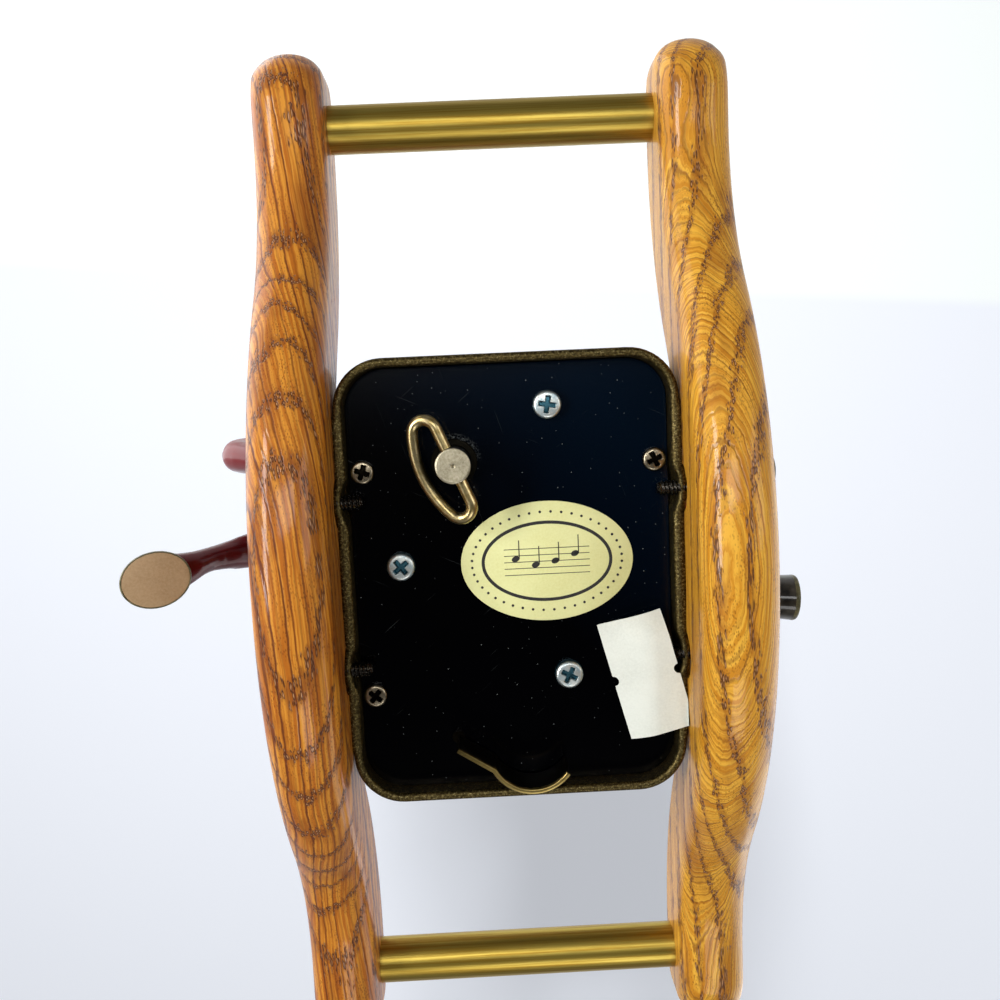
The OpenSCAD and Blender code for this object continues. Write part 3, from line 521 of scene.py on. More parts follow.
# %% Metals inside
# Clean steel, yellow brass with cut teeth, silky plate, spring steel blued by heat, dull grey iron.
bright_steel = metal("bright_steel", "#A8A49A", "#7F7A70", (0.8, 0.8, 0.8), 0.3)
gear_brass = metal("cut_brass", "#C8A654", "#AE8B3F", (0.4, 0.4, 3), 0.25)
bed_nickel = metal("nickel_plated_steel", "#B5B2A8", "#989486", (2, 2, 2), 0.3)
blue_steel = metal("blued_spring_steel", "#46505F", "#2F3744", (1, 1, 4), 0.3)
cast_iron = metal("machined_cast_iron", "#5B5A57", "#434240", (0.7, 0.7, 0.7), 0.55, dent=0.4)
INSIDE = {
    gear_brass: ["spring_barrel", "barrel_lid", "pin_drum", "drive_pinion", "cylinder_wheel", "train_wheel",
                 "governor_fly"],
    bed_nickel: ["bedplate", "barrel_bridge", "bearing_front", "bearing_rear", "governor_plate"],
    bright_steel: ["winding_arbor", "ratchet_wheel", "click_pawl", "cylinder_axle", "tone_comb",
                   "comb_screws", "frame_screws", "post_nut"],
    blue_steel: ["mainspring", "drum_pins"],
    cast_iron: ["comb_base"],
}


def refinish(name, mat):
    """Gives a plain solid its finish."""
    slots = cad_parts[name].data.materials
    slots.clear()
    slots.append(mat)
    print(name, "in", mat.name)


for mat, names in INSIDE.items():
    for name in names:
        refinish(name, mat)

# %% [markdown]
# Two drawn brass rods tie the rockers together. A cylinder with a bevel would do. A turned profile with
# broken edges is as short, and has its rings where the light needs them.

# %% Cross rods
CHAMFER = 0.3
for name in ("rod_front", "rod_rear"):
    low, high = node_box(name)
    half = (high[0] - low[0]) / 2
    profile = [(0, -half), (ROD_R - CHAMFER, -half), (ROD_R, -half + CHAMFER), (ROD_R, 0),
               (ROD_R, half - CHAMFER), (ROD_R - CHAMFER, half), (0, half)]
    bar = moved(lathe(profile, 96), turn_about("Y", 90), (low + high) / 2)
    place(make("brass_" + name, bar, drawn_brass, 30), "base", "rod_brass", name)

# %% [markdown]
# The case is a pressed metal box with its open side down. It could be a cube with a Bevel and a Solidify
# modifier. One profile does it in one sweep: from the middle of the inner roof, down the inner wall, round
# the lip, up the outer wall and over the top, carried round a rounded rectangle. Four bosses swell out of
# the wall for the side screws, and the lip has a rolled bead along its long sides: both are added to the
# offset.

# %% Case ring
CASE_W, CASE_L, CASE_R, CASE_WALL, CASE_EDGE = 64.2, 85.0, 9.5, 1.7, 4.0
TOP_Z = node_box("case_shell")[1][2]
ROOF_Z = TOP_Z - CASE_WALL
ROOF_IN, WALL_Z = 28.0, 30
BOSS_OUT, BOSS_TOP = 1.0, 26
BEAD, BEAD_HIGH = 0.7, 4.0


def dense_ring(a, b, r, straight=72, corner=12):
    """A rounded rectangle whose straight sides are filled by even steps, so that bumps can be added there."""
    ring = round_ring(a, b, r, corner)
    runs = []
    for first in range(0, 4 * (corner + 1), corner + 1):
        begin, end = ring[:, first + corner], ring[:, (first + corner + 1) % ring.shape[1]]
        share = np.linspace(0, 1, straight + 2)[None, 1:-1, None]
        runs += [ring[:, first:first + corner + 1], begin[:, None] * (1 - share) + end[:, None] * share]
    return np.concatenate(runs, axis=1)


# %% Case profile
def case_profile():
    """Inset and height, row by row: inner roof and wall, a half circle for the lip, outer wall, a quarter
    circle for the top edge."""
    lip = CASE_WALL / 2
    walls = np.linspace(WALL_Z, RIM_Z + lip + 0.2, 16)
    rows = [(ROOF_IN, ROOF_Z), (CASE_WALL + 1, ROOF_Z), (CASE_WALL, ROOF_Z - 1)]
    rows += [(CASE_WALL, z) for z in walls]
    rows += [(lip - lip * math.cos(a), RIM_Z + lip - lip * math.sin(a)) for a in np.linspace(np.pi, 0, 13)]
    rows += [(0, z) for z in walls[::-1]]
    rows += [(CASE_EDGE * (1 - math.cos(a)), TOP_Z - CASE_EDGE + CASE_EDGE * math.sin(a))
             for a in np.radians(np.linspace(0, 90, 12))]
    return np.array(rows + [(ROOF_IN, TOP_Z)]).T


# %% Case skin
def case_skin():
    """The profile's insets round a rounded rectangle. The long sides move out by the larger of a bump, one
    less the square of the distance to a boss, and a bead near the lip."""
    inset, z = case_profile()
    ring = dense_ring(CASE_W / 2 - inset, CASE_L / 2 - inset, np.maximum(CASE_R - inset, 0.5))
    x, y = ring[..., 0], ring[..., 1]
    gap = np.hypot(np.abs(y) - BOSS_Y, z[:, None] - BOSS_Z) / BOSS_R
    swell = BOSS_OUT * np.clip(1.25 * (1 - gap ** 2), 0, 1) * (z[:, None] < BOSS_TOP)
    near_lip = np.clip(1 - inset / CASE_WALL, 0, 1) * np.clip((RIM_Z + BEAD_HIGH - z) / 2, 0, 1)
    straight = np.clip((CASE_L / 2 - CASE_R - np.abs(y)) / 3, 0, 1)
    swell = np.maximum(swell, BEAD * near_lip[:, None] * straight)
    x = x + np.sign(x) * swell * (np.abs(x) > CASE_W / 2 - CASE_WALL - 0.6)
    return grid(np.stack([x, y, np.broadcast_to(z[:, None], x.shape)], axis=-1))


# %% Case with its posts
COVER_POSTS = [(-27.6, -21.4), (27.6, -21.4), (-27.6, 21.9)]
POST_BORE, POST_WALL = 1.25, 3.2
bed_z = node_box("cover_plate")[1][2]
sleeve = lathe([(POST_BORE, bed_z), (POST_WALL, bed_z), (POST_WALL, ROOF_Z + 0.5), (POST_BORE, ROOF_Z + 0.5),
                (POST_BORE, bed_z)], 32)
posts = [moved(sleeve, at=(x, y, 0)) for x, y in COVER_POSTS]
place(make("metal_case", join(case_skin(), *posts), bronze, 35), "base", "bronze_case", "case_shell")

# %% [markdown]
# The cover is a flat plate under gloss black lacquer. Lacquer this dark shows everything: specks of dust,
# hair-fine scratches and a rub mark from years of winding. A cool sheen towards one corner is a painted
# reflection in its colour. The plate's shape is right as it is, so it keeps its solid and gets only the
# finish. Real hairs are finer than a pixel and are drawn 0.2 mm wide.

# %% Dust and hairs
KEY = np.array([-10.2, -22.6])
RUB_R, RUB_WIDE = 4.6, 0.9
RUB_SIDE = (0.35, -0.94, 0.0)
RUB_FROM = float(np.dot(KEY, RUB_SIDE[:2])) + 1.2
HAIRS = ((25, 14), (-40, 9), (72, 18))


def dust_and_hairs(node, mm):
    """Specks at the middle of a few cells, and noise stretched to hairs in three directions."""
    cells = node("TexVoronoi", {"Vector": mm, "Scale": 0.75}, None)
    chance = node("SeparateColor", {0: cells["Color"]})
    speck = node("MapRange", {"Value": cells["Distance"], "From Min": 0.1, "From Max": 0.03})
    rare = node("MapRange", {"Value": chance, "From Min": 0.45, "From Max": 0.95})
    marks = node("Math", {0: speck, 1: rare}, operation="MULTIPLY")
    for angle, length in HAIRS:
        turned = node("Mapping", {"Vector": mm, "Rotation": (0, 0, math.radians(angle)),
                                  "Scale": (length, 0.22, 3.0)}, vector_type="TEXTURE")
        hair = node("TexNoise", {"Vector": turned, "Scale": 1.0, "Detail": 1.0})
        hair = node("MapRange", {"Value": hair, "From Min": 0.79, "From Max": 0.86, "To Max": 0.16})
        marks = node("Math", {0: marks, 1: hair}, operation="MAXIMUM")
    return marks


# %% Rub mark
def rub_mark(node, mm):
    """Part of a ring round the key: near one radius, broken by noise, on one side only."""
    gap = node("VectorMath", {0: mm, 1: (KEY[0], KEY[1], COVER_Z)}, "Value", operation="DISTANCE")
    off = node("Math", {0: gap, 1: RUB_R}, operation="SUBTRACT")
    off = node("Math", {0: off}, operation="ABSOLUTE")
    rub = node("MapRange", {"Value": off, "From Min": RUB_WIDE, "From Max": 0.1}, **SMOOTH)
    fuzz = node("TexNoise", {"Vector": mm, "Scale": 2.4, "Detail": 4.0})
    fuzz = node("MapRange", {"Value": fuzz, "From Min": 0.46, "From Max": 0.66, "To Max": 0.5})
    side = node("VectorMath", {0: mm, 1: RUB_SIDE}, "Value", operation="DOT_PRODUCT")
    side = node("MapRange", {"Value": side, "From Min": RUB_FROM, "From Max": RUB_FROM + 3.0})
    for share in (fuzz, side):
        rub = node("Math", {0: rub, 1: share}, operation="MULTIPLY")
    return rub


# %% Black lacquer
def scratched_lacquer(name):
    """Black lacquer with a painted cool reflection towards one corner. Its marks are paler and duller."""
    mat, node, mm = start(name)
    marks = node("Math", {0: dust_and_hairs(node, mm), 1: rub_mark(node, mm)}, operation="MAXIMUM")
    # A painted reflection: the black turns cool blue towards one corner.
    lean = node("VectorMath", {0: mm, 1: (0.02, -0.02, 0.0)}, "Value", operation="DOT_PRODUCT")
    painted_sheen = node("MapRange", {"Value": lean})
    tone = linear("#000001")
    for share, colour in ((painted_sheen, "#010B18"), (marks, "#6F7472")):
        tone = node("Mix", {0: share, 6: tone, 7: linear(colour)}, 2, data_type="RGBA")
    rough = node("MapRange", {"Value": marks, "To Min": 0.15, "To Max": 0.6})
    return finish(mat, {"Base Color": tone, "Roughness": rough, "Specular IOR Level": 0.2})


refinish("cover_plate", scratched_lacquer("scratched_black_lacquer"))

# %% [markdown]
# Pan-head screws with a cross recess hold the cover and the movement. The recess could be cut by a boolean
# with two bars. A height worked out on a polar grid needs no cutting: a low dome, a rounded rim, and a
# cross-shaped dip with sloping walls, as a driver leaves it.

# %% Screw head
FACE_ROWS = 44
SOFT = 0.16


def pan_head(radius, height, arm, wide, deep):
    """A head with its bearing face at z = 0 and its dome towards -Z. The dome falls with the square of the
    radius, the rim is a quarter circle, and the dip is the larger of two bars with sloping walls."""
    edge = 0.42 * height
    flat_r = (radius - edge) * np.linspace(0, 1, FACE_ROWS)
    flat_z = height - 0.12 * height * (flat_r / radius) ** 2
    a = np.radians(np.linspace(0, 90, 10))[1:]
    r = np.concatenate([flat_r, radius - edge + edge * np.sin(a), [radius]])
    z = np.concatenate([flat_z, flat_z[-1] - edge + edge * np.cos(a), [0.0]])
    angle = np.linspace(0, 2 * np.pi, 96, endpoint=False)
    x, y = r[:, None] * np.cos(angle), r[:, None] * np.sin(angle)
    bars = [np.clip((arm - np.abs(u)) / (2.2 * SOFT), 0, 1) * np.clip((wide - np.abs(v)) / SOFT, 0, 1)
            for u, v in ((x, y), (y, x))]
    dip = deep * np.maximum(*bars)
    top = z[:, None] - dip * (np.arange(len(r)) < FACE_ROWS)[:, None]
    return grid(np.stack([x, y, -top], axis=-1))


# %% Cover and movement screws
def screw(at, turn, head, body_r, length):
    """A head with its bearing face at a point, and a plain turned shank with a broken end along +Z."""
    shank = lathe([(0, -0.2), (body_r, -0.2), (body_r, length - 0.3), (body_r - 0.3, length),
                   (0, length)], 32)
    return moved(join(pan_head(*head), shank), turn_about("Z", turn), at)


# A head is its radius, its height, and the arm, half width and depth of its cross.
MOVE_HEAD, MOVE_R, MOVE_LONG = (2.72, 1.9, 1.7, 0.5, 1.1), 1.5, 3.6
COVER_HEAD, COVER_R, COVER_LONG = (2.25, 1.5, 1.5, 0.5, 1.0), 1.25, 7
MOVE_SPOTS = [(7.7, -32.6, 10), (-21.3, -3.1, 52), (10.0, 19.5, 28)]
COVER_TURNS = (20, 65, 38)
big = [screw((x, y, COVER_Z), turn, MOVE_HEAD, MOVE_R, MOVE_LONG) for x, y, turn in MOVE_SPOTS]
place(make("zinc_screws", join(*big), zinc, 45), "base", "screw_zinc", "movement_screws")
small = [screw((x, y, COVER_Z), turn, COVER_HEAD, COVER_R, COVER_LONG)
         for (x, y), turn in zip(COVER_POSTS, COVER_TURNS)]
place(make("bronze_screws", join(*small), screw_bronze, 45), "base", "screw_bronze", "cover_screws")

# %% [markdown]
# Four long screws come in through the rockers. Their heads sit in the counterbores, and their threaded tips
# show inside the rim. A thread could be a spring-shaped tube wound on a rod. Here the radius itself follows
# a triangle wave of height and angle, which is one skin with nothing inside it.

# %% Case screws
SIDE_HEAD, SIDE_R = (2.8, 2.0, 1.5, 0.4, 1.0), 1.5
HEAD_X = rail_top[0] - COUNTERBORE_DEEP
TIP_X = CASE_W / 2 - 4.5


def thread(radius, begin, end, pitch=0.75, cut_deep=0.35):
    """A threaded shank along Z: radius less a triangle wave that climbs one pitch each turn, and a taper."""
    z = np.linspace(begin, end, int((end - begin) / pitch * 10))
    angle = np.linspace(0, 2 * np.pi, 40, endpoint=False)
    wave = np.abs(((z[:, None] / pitch - angle / (2 * np.pi)) % 1) * 2 - 1)
    taper = np.clip((end - z) / 0.7, 0.15, 1)[:, None]
    r = radius - cut_deep * wave - 0.5 * (1 - taper)
    height = np.broadcast_to(z[:, None], r.shape)
    return grid(np.stack([r * np.cos(angle), r * np.sin(angle), height], axis=-1))


one = join(pan_head(*SIDE_HEAD), thread(SIDE_R, -0.2, HEAD_X - TIP_X))
four = [moved(one, turn_about("Y", -90 * side), (side * HEAD_X, end * BOSS_Y, BOSS_Z))
        for side in (-1, 1) for end in (-1, 1)]
place(make("side_screws", join(*four), dark_steel, 45), "base", "screw_steel", "case_screws")

# %% [markdown]
# The winding key has a turned hub and a folding wire bail. The hub is a turned profile with fine rings on
# its face and a small centre dimple, drilled across for the wire. The bail is a D of round wire: a straight
# chord through the hub, two tight corner bends and a shallow bow. A Blender curve with a bevel would look
# the same; a closed tube round a path of points is a finished mesh at once.

# %% Key hub
FOLD_Z, FOLD_TURN, BAIL_REST, WIRE_R = 14.5, 67.2, 20.0, 1.1
SHOULDER_R, SOCKET_R = 4.35, 2.0
RING_GAP, RING_DEEP = 0.26, 0.012
hub_low, hub_top = node_box("key_hub")
HUB_R = (hub_top[0] - hub_low[0]) / 2
fold_at = (KEY[0], KEY[1], FOLD_Z)


def hub_shape():
    """Height by radius: a face with a sine ripple and a bell-shaped dimple, a bevel, the side, a shoulder
    over the cover's hole, and the socket."""
    r = np.linspace(0, HUB_R - 0.35, 110)
    ripple = RING_DEEP * np.sin(r * 2 * np.pi / RING_GAP) * (r > 0.7)
    face = hub_low[2] + ripple + 0.35 * np.exp(-(r / 0.28) ** 2)
    rows = list(zip(r, face))
    rows += [(HUB_R - 0.1, hub_low[2] + 0.1), (HUB_R, hub_low[2] + 0.35)]
    rows += [(HUB_R, z) for z in np.linspace(hub_low[2] + 0.5, hub_top[2] - 0.3, 12)]
    low, high = hub_top[2] - 0.1, COVER_Z - 0.25
    roof = FOLD_Z + WIRE_R + 0.8
    rows += [(HUB_R + 0.05, low), (SHOULDER_R - 0.1, low), (SHOULDER_R, low + 0.1), (SHOULDER_R, high),
             (SOCKET_R, high), (SOCKET_R, roof), (0, roof)]
    return moved(lathe(rows, 96), at=(KEY[0], KEY[1], 0))


hub = make("turned_key_hub", hub_shape(), nickel, 40)
drill = lathe([(0, -6), (WIRE_R + 0.05, -6), (WIRE_R + 0.05, 6), (0, 6)], 32)
cut(hub, moved(moved(drill, turn_about("Y", 90)), turn_about("Z", FOLD_TURN), fold_at), 40)
place(hub, "key", "hub_nickel", "key_hub")


# %% Folding bail
BEND_R, BEND_X, BOW_Y, BOW_R = 2.4, 7.35, -11.7, 18.3


def tube(path, radius, sides=24):
    """A round wire along a closed path: each ring is the path's point plus the radius times cosine and sine,
    along two directions square to the path."""
    along = np.roll(path, -1, axis=0) - np.roll(path, 1, axis=0)
    along /= np.linalg.norm(along, axis=1)[:, None]
    side = np.cross([0.0, 0.0, 1.0], along)
    side /= np.linalg.norm(side, axis=1)[:, None]
    rise = np.cross(along, side)
    angle = np.linspace(0, 2 * np.pi, sides, endpoint=False)[None, :, None]
    rings = radius * (np.cos(angle) * side[:, None] + np.sin(angle) * rise[:, None])
    return grid(path[:, None] + rings, along=True)


def bail_path():
    """Points round the D: a chord, a corner arc, the bow arc and the other corner arc."""
    half = math.atan2(BEND_X, BEND_R - BOW_Y)
    quarter = np.pi / 2
    arcs = ((BEND_X, BEND_R, BEND_R, np.linspace(-quarter, quarter - half, 33)[1:]),
            (0, BOW_Y, BOW_R, np.linspace(quarter - half, quarter + half, 41)[1:]),
            (-BEND_X, BEND_R, BEND_R, np.linspace(quarter + half, 3 * quarter, 33)[1:-1]))
    runs = [np.stack([np.linspace(-BEND_X, BEND_X, 25), np.zeros(25), np.zeros(25)], axis=1)]
    runs += [np.stack([x + r * np.cos(a), y + r * np.sin(a), 0 * a], axis=1) for x, y, r, a in arcs]
    return np.concatenate(runs)


bail_turn = turn_about("Z", FOLD_TURN) @ turn_about("X", BAIL_REST)
wire = moved(tube(bail_path(), WIRE_R), bail_turn, fold_at)
place(make("folding_bail", wire, bail_brass, 60), "bail", "bail_brass", "key_bail")

# %% [markdown]
# The stop lever is a brass strip set on edge. A straight run leads into a curled end that a finger pushes.
# Its pin goes through the cover to an arm inside, whose tongue stops the fly. The strip could be a bent
# plane with Solidify. A small rounded section carried along the run and the curl also gives it soft edges.

# %% Stop lever shape
LEVER = np.array([-12.0, 31.0])
CURL_X, CURL_Y, CURL_R = 2.0, 31.4, 8.3
STRIP_T, STRIP_Z, STRIP_H = 0.9, 13.6, 8.0
PIN_R, PIN_HUB_R, ARM_FOOT, ARM_WIDE = 1.2, 2.0, 1.2, 1.6


def strip_on_edge():
    """A rounded rectangle along a line and then an arc: its width across the path, its height along Z."""
    a = np.radians(np.linspace(152, 38, 49))
    curl = np.stack([CURL_X + CURL_R * np.cos(a), CURL_Y + CURL_R * np.sin(a)], axis=1)
    share = np.linspace(0, 1, 20)[:-1, None]
    path = np.concatenate([LEVER * (1 - share) + curl[0] * share, curl])
    along = np.gradient(path, axis=0)
    along /= np.linalg.norm(along, axis=1)[:, None]
    across = np.stack([-along[:, 1], along[:, 0]], axis=1)
    ring = round_ring([STRIP_T / 2], [STRIP_H / 2], [0.22], 4)[0]
    flat = path[:, None] + across[:, None] * ring[None, :, :1]
    z = np.broadcast_to(STRIP_Z + STRIP_H / 2 + ring[None, :, 1:], flat.shape[:2] + (1,))
    return grid(np.concatenate([flat, z], axis=-1))


# %% Lever's pin and arm
def lever_inside():
    """The turned pin and its hub, and an L-shaped outline pulled to a width for the arm and its tongue."""
    high = node_box("stop_lever")[1]
    fly_low, fly_high = node_box("governor_fly")
    reach = np.array([fly_low[0] - 0.63, fly_high[1] - 0.8 - 0.2]) - LEVER
    arm_z = bed_z + 0.6
    pin = lathe([(0, COVER_Z - 1.0), (PIN_R, COVER_Z - 1.0), (PIN_R, arm_z + 0.6), (0, arm_z + 0.6)], 32)
    hub = lathe([(0, arm_z - 0.1), (PIN_HUB_R, arm_z - 0.1), (PIN_HUB_R, arm_z + 1.3), (0, arm_z + 1.3)], 32)
    length = np.linalg.norm(reach)
    outline = np.array([[0, arm_z], [length, arm_z], [length, high[2]], [length - STRIP_T, high[2]],
                        [length - STRIP_T, arm_z + ARM_FOOT], [0, arm_z + ARM_FOOT]])
    rows = [np.stack([outline[:, 0], np.full(6, y), outline[:, 1]], axis=1)
            for y in (-ARM_WIDE / 2, ARM_WIDE / 2)]
    arm = moved(grid(np.array(rows)), turn_about("Z", math.degrees(math.atan2(reach[1], reach[0]))))
    return moved(join(pin, hub, arm), at=(LEVER[0], LEVER[1], 0))


# %% [markdown]
# Bare brass goes brown in years of air. Here the strip is dark brown and brighter along its lower edge,
# most of all at the curl: a mask by height, made ragged by noise and stronger towards the curl, mixes the
# bright metal into the dark.

# %% Stop lever
def tarnished_strip(name):
    """Brown brass, brighter along its lower edge and most at the curl."""
    mat, node, mm = start(name)
    x, _, z = node("SeparateXYZ", {0: mm}, None)
    patch = node("TexNoise", {"Vector": mm, "Scale": 1.1, "Detail": 4.0})
    # Brighter metal is mixed in along the lower edge, more towards the curl.
    toward_curl = node("MapRange", {"Value": x, "From Min": LEVER[0], "From Max": CURL_X + 3, "To Min": 0.15})
    edge = node("Math", {0: patch, 1: 1.2, 2: z}, operation="MULTIPLY_ADD")
    edge = node("MapRange", {"Value": edge, "From Min": STRIP_Z + 1.7, "From Max": STRIP_Z + 0.9})
    edge = node("Math", {0: edge, 1: toward_curl}, operation="MULTIPLY")
    bright_metal = node("Mix", {0: patch, 6: linear("#D9C27C"), 7: linear("#8E7436")}, 2, data_type="RGBA")
    tone = node("Mix", {0: edge, 6: linear("#0E0B06"), 7: bright_metal}, 2, data_type="RGBA")
    rough = node("MapRange", {"Value": edge, "To Min": 0.5, "To Max": 0.28})
    return finish(mat, {"Base Color": tone, "Metallic": 1.0, "Roughness": rough})


lever_brass = tarnished_strip("tarnished_brass_strip")
place(make("stop_lever_strip", join(strip_on_edge(), lever_inside()), lever_brass, 35),
      "lever", "lever_brass", "stop_lever")

# %% [markdown]
# Two paper labels are stuck to the cover. Paper is matte and slightly mottled, with soft fibres that take
# the edge off every highlight. Ink lies on it as a thin dull film. The same recipe in clay tones also
# serves for the bare soles of the hooves.

# %% Paper and ink
def paper(name, pale, stain):
    """Matte fibres of about half a millimetre, drawn coarser than real, and stains of about a centimetre."""
    mat, node, mm = start(name)
    fibre = node("TexNoise", {"Vector": mm, "Scale": 2.2, "Detail": 5.0, "Roughness": 0.7})
    cloud = node("TexNoise", {"Vector": mm, "Scale": 0.11, "Detail": 2.0})
    both = node("Math", {0: fibre, 1: cloud}, operation="MULTIPLY")
    share = node("MapRange", {"Value": both, "From Min": 0.15, "From Max": 0.4, "To Max": 0.8})
    tone = node("Mix", {0: share, 6: linear(pale), 7: linear(stain)}, 2, data_type="RGBA")
    bump = node("Bump", {"Strength": 0.12, "Distance": 0.0001, "Height": fibre})
    return finish(mat, {"Base Color": tone, "Roughness": 0.62, "Normal": bump})


# Cream stock, and white stock that has greyed in patches. The ink is dull and not quite black.
cream_paper = paper("cream_label_paper", "#E9E9A8", "#DCDA94")
white_paper = paper("white_sticker_paper", "#E6E9DE", "#D3D6CA")
ink = metal("printed_black_ink", "#1A1918", "#2A2826", (0.5, 0.5, 0.5), 0.55, metallic=0.0)

# %% [markdown]
# The oval label carries a printed line, a stave with four notes and a ring of dots. Print could be a
# pattern in the paper's material. As thin pieces of ink it keeps sharp edges at any distance.

# %% Oval label
label_low, label_high = node_box("label_oval")
label_x, label_y = ((label_low + label_high) / 2)[:2]
LABEL_A, LABEL_B = (label_high - label_low)[:2] / 2
PAPER_T = label_high[2] - label_low[2]


def ellipse_plate(a, b, low, high):
    """A turned disc of radius 1 with a softened edge, stretched by a and b."""
    edge = low + 0.3 * (high - low)
    points, faces = lathe([(0, low), (1 - 0.004, low), (1, edge), (1, high), (0, high)], 160)
    return points * [a, b, 1] + [label_x, label_y, 0], faces


oval = ellipse_plate(LABEL_A, LABEL_B, label_low[2], label_high[2])
place(make("oval_paper_label", oval, cream_paper, 50), "base", "label_paper", "label_oval")

# %% Ink shapes
INK_T, INK_Z = 0.012, label_low[2] + 0.002
around = np.linspace(0, 2 * np.pi, 160, endpoint=False)


def oval_points(a, b, x, y, step=1, tilt=0):
    """Points of an ellipse: a times cosine and b times sine, tilted and moved."""
    oval = np.c_[a * np.cos(around[::step]), b * np.sin(around[::step])] @ turn_about("Z", tilt)[:2, :2].T
    return oval + [x, y]


def ink_patch(outline):
    """A flat outline of points, given the ink's thickness."""
    z = np.full(len(outline), INK_Z)
    return grid(np.stack([np.c_[outline, z], np.c_[outline, z - INK_T]]))


def ink_line(path, wide, closed=False):
    """A flat path with half its width to each side, square to the path, given the ink's thickness."""
    path = np.asarray(path, float)
    along = np.roll(path, -1, axis=0) - np.roll(path, 1, axis=0) if closed else np.gradient(path, axis=0)
    along /= np.linalg.norm(along, axis=1)[:, None]
    across = np.stack([-along[:, 1], along[:, 0]], axis=1) * wide / 2
    z = np.full(len(path), INK_Z)
    rows = [np.c_[path + across, z], np.c_[path - across, z],
            np.c_[path - across, z - INK_T], np.c_[path + across, z - INK_T]]
    return grid(np.stack(rows, axis=1), along=closed)


# %% Label print
LINE_A, LINE_B, LINE_WIDE = 12.25, 7.5, 0.62
STAVE_GAP, STAVE_HALF, STAVE_WIDE = 1.25, 8.2, 0.14
NOTES, STEM_LONG = ((-6.0, 1), (-2.2, -1), (1.6, 0), (5.4, 2)), 3.6
DOTS, DOT_A, DOT_B, DOT_R = 44, 14.4, 9.55, 0.26

prints = [ink_line(oval_points(LINE_A, LINE_B, label_x, label_y), LINE_WIDE, True)]
for k in range(-2, 3):
    y = label_y + k * STAVE_GAP
    prints.append(ink_line([[label_x - STAVE_HALF, y], [label_x + STAVE_HALF, y]], STAVE_WIDE))
for x, step in NOTES:
    x, y = label_x + x, label_y - step * STAVE_GAP / 2
    prints.append(ink_patch(oval_points(0.78, 0.55, x, y, 6, -20)))
    prints.append(ink_line([[x + 0.7, y], [x + 0.7, y - STEM_LONG]], 0.2))
for a in 2 * np.pi * (np.arange(DOTS) + 0.5) / DOTS:
    x, y = label_x + DOT_A * np.cos(a), label_y + DOT_B * np.sin(a)
    prints.append(ink_patch(oval_points(DOT_R, DOT_R, x, y, 13)))
place(make("label_print", join(*prints), ink, 50), "base", "label_paper")

# %% [markdown]
# The price sticker has a half-round bite in each long side, from the label gun. Its outer corner climbs off
# the plate and laps over the rim and against the wood. A cloth simulation could drape it. A smooth step of
# the distance to the wall is enough for one lifted corner, and it is the same every time.

# %% Price sticker
STICKER_AT, STICKER_TURN = np.array([24.6, 19.9]), -14.4
STICKER_W, STICKER_L, BITE_R = 12.4, 23.0, 0.95
WOOD_X = rail_low[0] - 0.1
LIFT_X, LIFT_Y, LIFT_RUN_X, LIFT_RUN_Y, OVER_RIM = 15.5, 2.5, 11.3, 11.0, 0.25


def ease(t):
    """Smooth step from 0 to 1: three times the square less twice the cube."""
    t = np.clip(t, 0, 1)
    return t * t * (3 - 2 * t)


def sticker_shape():
    """A thin sheet. Each row is shortened by a half circle at the middle, the height is a product of two
    smooth steps, and what would enter the wood turns down along it."""
    y = np.sort(np.concatenate([np.linspace(-1, 1, 61), np.linspace(-0.09, 0.09, 25)])) * STICKER_L / 2
    bite = np.sqrt(np.clip(BITE_R ** 2 - y ** 2, 0, None))
    x = np.linspace(-1, 1, 49)[None] * (STICKER_W / 2 - bite[:, None])
    flat = np.stack([x, np.broadcast_to(y[:, None], x.shape)], axis=-1)
    flat = flat @ turn_about("Z", STICKER_TURN)[:2, :2].T + STICKER_AT
    spill = np.maximum(flat[..., 0] - WOOD_X, 0)
    flat[..., 0] -= spill
    rise = ease((flat[..., 0] - LIFT_X) / LIFT_RUN_X) * ease((flat[..., 1] - LIFT_Y) / LIFT_RUN_Y)
    low = (COVER_Z - (COVER_Z - RIM_Z + OVER_RIM) * rise - spill)[..., None]
    under = np.concatenate([flat, low - PAPER_T], axis=-1)
    over = np.concatenate([flat, low - 0.01], axis=-1)
    return grid(np.concatenate([under, over[:, ::-1]], axis=1))


place(make("price_sticker_sheet", sticker_shape(), white_paper, 50), "base", "sticker_paper", "price_sticker")

# %% [markdown]
# The figure is a generic horse in a thick dark red glaze. It could be sculpted by hand. Here its body and
# limbs are oval rings carried along a few stations, x, y, z and half sizes, with a smooth curve between
# them, so that each joint of a leg can be moved by one row.

# %% Horse stations
TORSO = [[50, 0, 103, 3, 4], [47, 0, 102, 9, 11], [40, 0, 101, 14, 16.5], [30, 0, 100, 16.5, 18.5],
         [18, 0, 99.5, 16, 17], [4, 0, 98.5, 16.5, 17], [-10, 0, 98.5, 16.5, 18], [-24, 0, 100, 15.5, 19],
         [-34, 0, 102, 13, 17.5], [-42, 0, 103, 8.5, 12.5], [-46, 0, 103.5, 2.5, 4]]
NECK = [[-24, 0, 106, 12, 19], [-31, 0, 117, 10.5, 16.5], [-39, 0, 129, 8, 12.5], [-46, 0, 140, 6.5, 10],
        [-52, 0, 150, 5.5, 8.5], [-55, 0, 155, 3, 4.5]]
HEAD = [[-48, 0, 154, 4, 5], [-53, 0, 152.5, 6.2, 8], [-60, 0, 148.5, 6, 7.8], [-67, 0, 143.5, 4.8, 6],
        [-71, 0, 139.5, 4.2, 5], [-73.2, 0, 137, 3.5, 4.3], [-74.4, 0, 135.6, 1.5, 2]]
